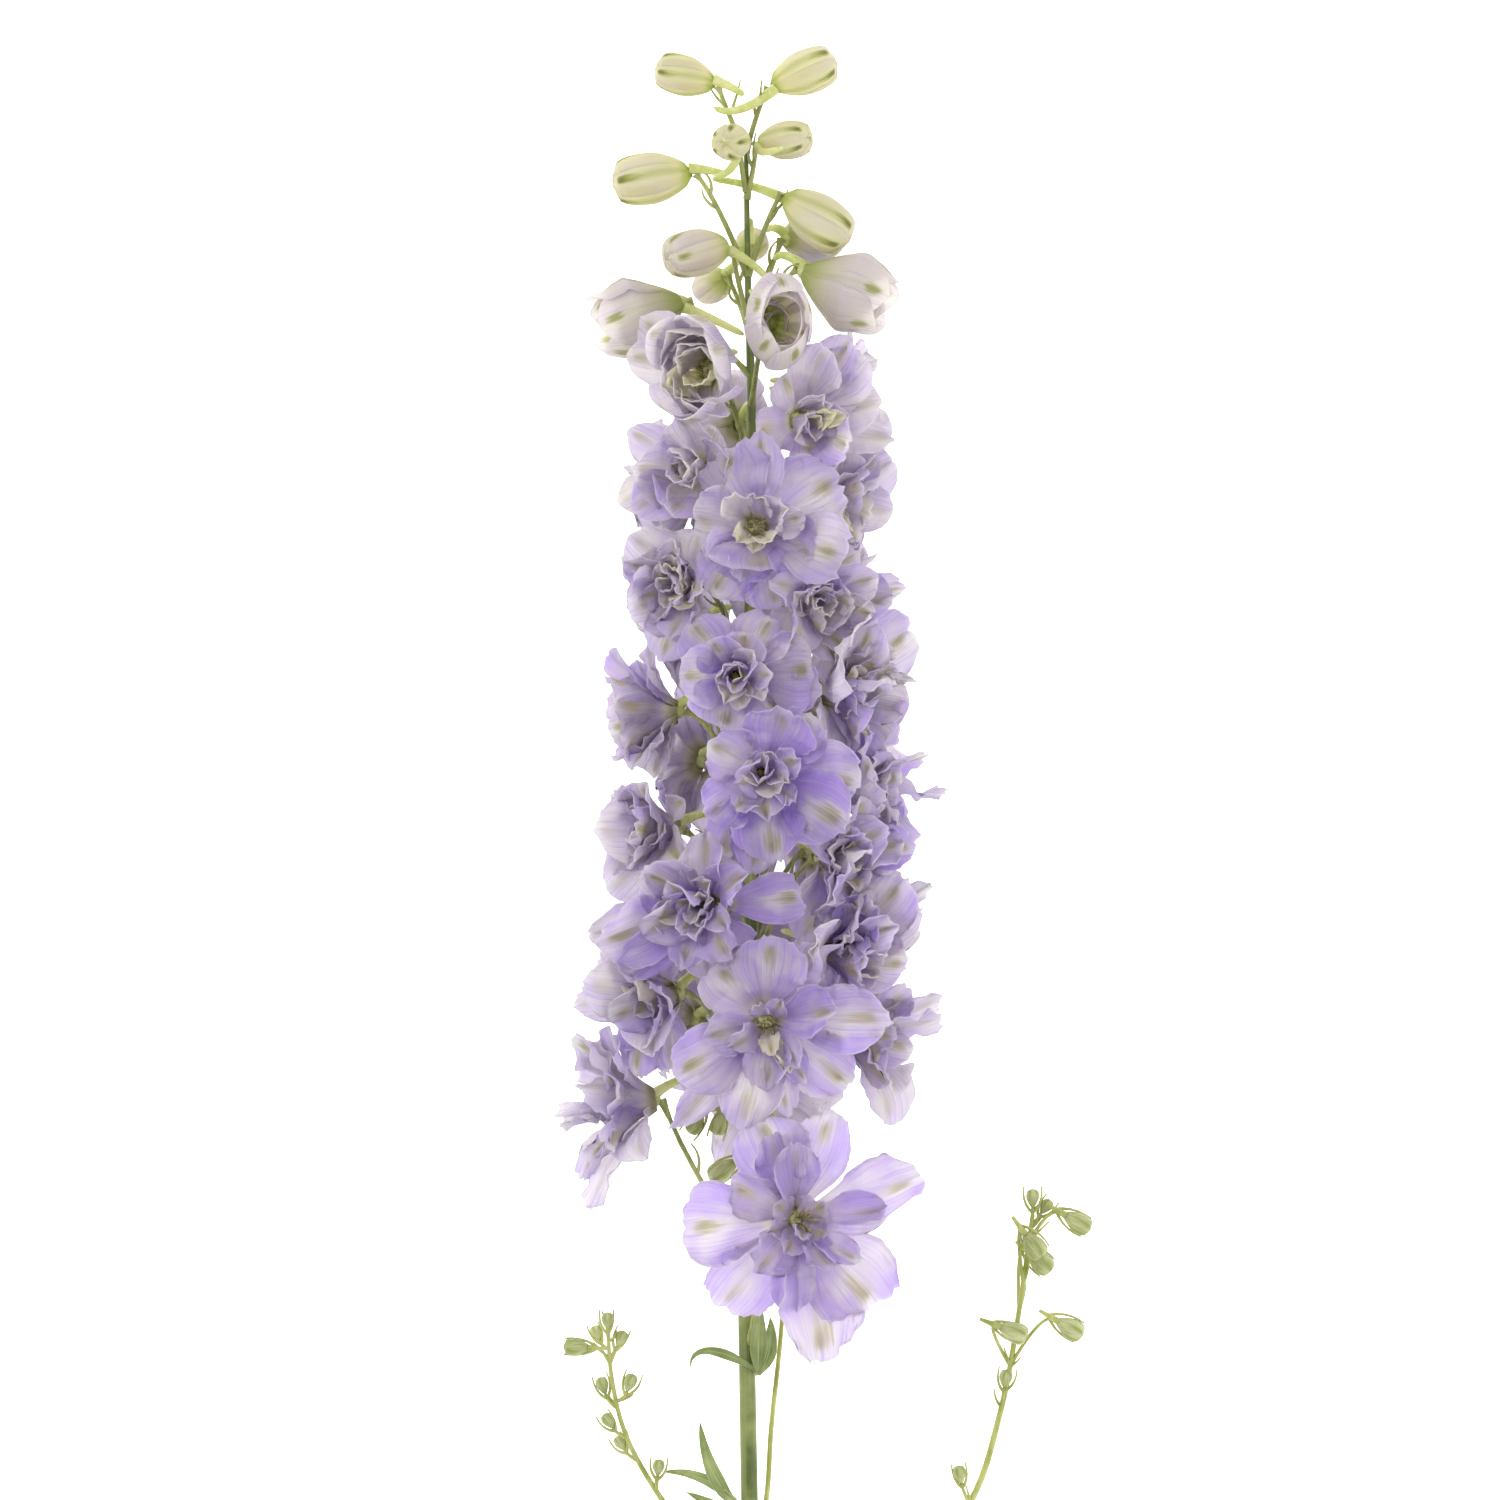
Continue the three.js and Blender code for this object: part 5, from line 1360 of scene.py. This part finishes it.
class SpikeStage(bpy.types.PropertyGroup):
    """The floor and the light."""

    floor: colour_property("Floor", "The surface that the spike lies on", (0.92, 0.92, 0.92))
    glow: FloatProperty(
        name="Floor glow", description="Light through the surface from below", default=1.12
    )
    sky: FloatProperty(name="Sky", description="Strength of the light all round", default=0.8)
    key: FloatProperty(
        name="Key light", description="Power of the large light", default=21.0, unit="POWER"
    )


class SPIKE_OT_stem(bpy.types.Operator):
    """Adds the stem with the flowers' stalks and their thread-like bracts"""

    bl_idname = "spike.stem"
    bl_label = "Stem"

    def execute(self, context):
        ups = np.linspace(0, STEM[-1][0], STEM_STEPS)
        line = np.array([stem_point(up) for up in ups])
        radii = [stem_value(up, 2) for up in ups]
        finished_tubes("main_stem", [(line, radii)], "stem", "stem", "stem", sides=4)
        lines = []
        for head in HEADS:
            stalk = pedicel_line(head)
            lines.append(stalk)
            lines.extend(bract_lines(stalk[0], head.number))
        finished_tubes("flower_stalks", lines, "stalk", "stem", "stem")
        return {"FINISHED"}


class SPIKE_OT_leaves(bpy.types.Operator):
    """Adds the leaves' lobes"""

    bl_idname = "spike.leaves"
    bl_label = "Leaves"

    def execute(self, context):
        blank = Blank(*LOBE)
        parts = []
        for k, (*line, wide) in enumerate(LEAVES):
            line = [beside(*p) for p in line]
            points = leaf_points(line, wide, blank.t, blank.a, k * 1.7)
            parts.append(blank.shaped(points, (chance(k), 0, 0, 0)))
        blank.clear()
        thickness = context.scene.spike_sizes.leaf_thickness
        finished("leaves", parts, thickness, green_material("leaf"), "stem", "stem")
        return {"FINISHED"}


class SPIKE_OT_shoots(bpy.types.Operator):
    """Adds the three side shoots with their small buds"""

    bl_idname = "spike.shoots"
    bl_label = "Side shoots"

    def execute(self, context):
        blank = Blank(*TINY)
        thickness = context.scene.spike_sizes.petal_thickness
        for number, (name, (line, radius, buds)) in enumerate(SHOOTS.items()):
            ups = np.array([p[0] for p in line], float)
            steps = np.linspace(ups[0], ups[-1], SHOOT_STEPS)
            knots = np.array([beside(*p) for p in line])
            points = np.stack([smooth_curve(ups, knots[:, k], steps) for k in range(3)], 1)
            lines = [(points, np.linspace(*radius, SHOOT_STEPS))]
            parts = []
            for k, (leaves_at, *bud) in enumerate(buds):
                start = points[np.argmin(np.abs(steps - leaves_at))]
                bud_lines, sepals = shoot_bud(start, *bud, number * 11 + k * 1.9, blank)
                lines += bud_lines
                parts += sepals
            lines += shoot_tip(points)
            finished_tubes(name + "_stalks", lines, "shoot", "shoot", name)
            finished(name + "_buds", parts, thickness, green_material("young"), "bud", name)
        blank.clear()
        return {"FINISHED"}


class SPIKE_OT_florets(bpy.types.Operator):
    """Adds the open double flowers"""

    bl_idname = "spike.florets"
    bl_label = "Open flowers"

    def execute(self, context):
        add_flowers(context, FLORETS, WHORLS, "petal")
        return {"FINISHED"}


class SPIKE_OT_half_open(bpy.types.Operator):
    """Adds the flowers that are half out of the bud"""

    bl_idname = "spike.half_open"
    bl_label = "Half-open flowers"

    def execute(self, context):
        add_flowers(context, HALF_OPEN, WHORLS[:4], "half_open")
        return {"FINISHED"}


class SPIKE_OT_buds(bpy.types.Operator):
    """Adds the closed buds near the tip"""

    bl_idname = "spike.buds"
    bl_label = "Buds"

    def execute(self, context):
        blank = Blank(*MEDIUM)
        thickness = context.scene.spike_sizes.petal_thickness
        for head in CLOSED:
            vectors = head.base, head.facing, head.top, head.across
            young = lerp(0.84, 1.0, smooth(*BUD_UP, head.up))
            length = head.sepal * BUD_LONGER
            parts = bud_parts(*vectors, length, head.number, blank, young, BUD_DROP)
            finished(head.name + "_sepals", parts, thickness, petal_material(), "bud", head.name)
        blank.clear()
        return {"FINISHED"}


class SPIKE_OT_spurs(bpy.types.Operator):
    """Adds the horns at the flowers' backs"""

    bl_idname = "spike.spurs"
    bl_label = "Spurs"

    def execute(self, context):
        lines = [spur_line(head) for head in HEADS]
        lines += [seat_line(head) for head in FLORETS + HALF_OPEN]
        finished_tubes("spurs", lines, "spur", "bud")
        return {"FINISHED"}


class SPIKE_OT_stamens(bpy.types.Operator):
    """Adds the stamens in the hearts of the open flowers"""

    bl_idname = "spike.stamens"
    bl_label = "Stamens"

    def execute(self, context):
        lines = [line for head in FLORETS for line in stamen_lines(head)]
        finished_tubes("stamens", lines, "stamen", "petal", sides=1)
        return {"FINISHED"}


# The stage, in metres. A lamp has its place, its share of the key light's power, and its size.
FLOOR_SIZE = 16
LAMPS = (("key", (-1.2, 0.9, 1.6), 1.0, 1.6), ("fill", (1.5, -0.8, 1.2), 0.9, 1.8))
LAMPS_AIM = Vector((0, 0, 0.03))
WHITE = (1, 1, 1, 1)


class SPIKE_OT_stage(bpy.types.Operator):
    """Adds the pale floor, the soft lights and the camera that looks down"""

    bl_idname = "spike.stage"
    bl_label = "Stage"

    def execute(self, context):
        settings = context.scene.spike_stage
        bpy.ops.object.select_all(action="DESELECT")
        bpy.ops.mesh.primitive_plane_add(size=FLOOR_SIZE, location=(0, 0, 0))
        floor = context.object
        floor.name = "floor"
        f = Finish("floor")
        low = [c * 0.99 for c in settings.floor]
        f.shade = f.mix(f.noise(f.place(), 300.0), low, settings.floor)
        look = {"Base Color": f.shade, "Roughness": 0.9}
        look.update({"Emission Color": WHITE, "Emission Strength": settings.glow})
        f.finish(f.add("ShaderNodeBsdfPrincipled", look))
        floor.data.materials.append(f.material)

        world = bpy.data.worlds.new("studio")
        context.scene.world = world
        world.use_nodes = True
        sky = world.node_tree.nodes["Background"]
        sky.inputs["Color"].default_value = WHITE
        sky.inputs["Strength"].default_value = settings.sky
        for name, place, share, size in LAMPS:
            bpy.ops.object.light_add(type="AREA", location=place)
            lamp = context.object
            lamp.name = name
            lamp.data.energy = settings.key * share
            lamp.data.size = size
            aim = LAMPS_AIM - lamp.location
            lamp.rotation_euler = aim.to_track_quat("-Z", "Y").to_euler()

        middle_y = CUT_Y + CUT_BELOW_MIDDLE
        place = (STEM_X * MM, middle_y * MM, (STEM_Z + CAMERA_HEIGHT) * MM)
        bpy.ops.object.camera_add(location=place)
        camera = context.object
        camera.data.angle = 2 * math.atan(VIEW_WIDTH / 2 / CAMERA_HEIGHT)
        camera.data.clip_end = 50
        context.scene.camera = camera
        context.scene.view_settings.view_transform = "Standard"
        return {"FINISHED"}


class SPIKE_PT_panel(bpy.types.Panel):
    """Lists the steps that build the spike"""

    bl_idname = "SPIKE_PT_panel"
    bl_label = "Delphinium Spike"
    bl_space_type = "VIEW_3D"
    bl_region_type = "UI"
    bl_category = "Spike"

    def draw(self, context):
        for operator in OPERATORS:
            self.layout.operator(operator.bl_idname)
        for settings in ("spike_sizes", "spike_colours", "spike_stage"):
            group = getattr(context.scene, settings)
            for key in group.bl_rna.properties.keys()[2:]:
                self.layout.prop(group, key)


OPERATORS = (
    SPIKE_OT_stem,
    SPIKE_OT_leaves,
    SPIKE_OT_shoots,
    SPIKE_OT_florets,
    SPIKE_OT_half_open,
    SPIKE_OT_buds,
    SPIKE_OT_spurs,
    SPIKE_OT_stamens,
    SPIKE_OT_stage,
)
GROUPS = (SpikeSizes, SpikeColours, SpikeStage)


def register():
    for group in GROUPS:
        bpy.utils.register_class(group)
    bpy.types.Scene.spike_sizes = PointerProperty(type=SpikeSizes)
    bpy.types.Scene.spike_colours = PointerProperty(type=SpikeColours)
    bpy.types.Scene.spike_stage = PointerProperty(type=SpikeStage)
    for operator in OPERATORS:
        bpy.utils.register_class(operator)
    bpy.utils.register_class(SPIKE_PT_panel)


def unregister():
    bpy.utils.unregister_class(SPIKE_PT_panel)
    for operator in reversed(OPERATORS):
        bpy.utils.unregister_class(operator)
    del bpy.types.Scene.spike_stage
    del bpy.types.Scene.spike_colours
    del bpy.types.Scene.spike_sizes
    for group in reversed(GROUPS):
        bpy.utils.unregister_class(group)


def main():
    register()
    bpy.ops.spike.stem()
    bpy.ops.spike.leaves()
    bpy.ops.spike.shoots()
    bpy.ops.spike.florets()
    bpy.ops.spike.half_open()
    bpy.ops.spike.buds()
    bpy.ops.spike.spurs()
    bpy.ops.spike.stamens()
    bpy.ops.spike.stage()


if __name__ == "__main__":
    main()
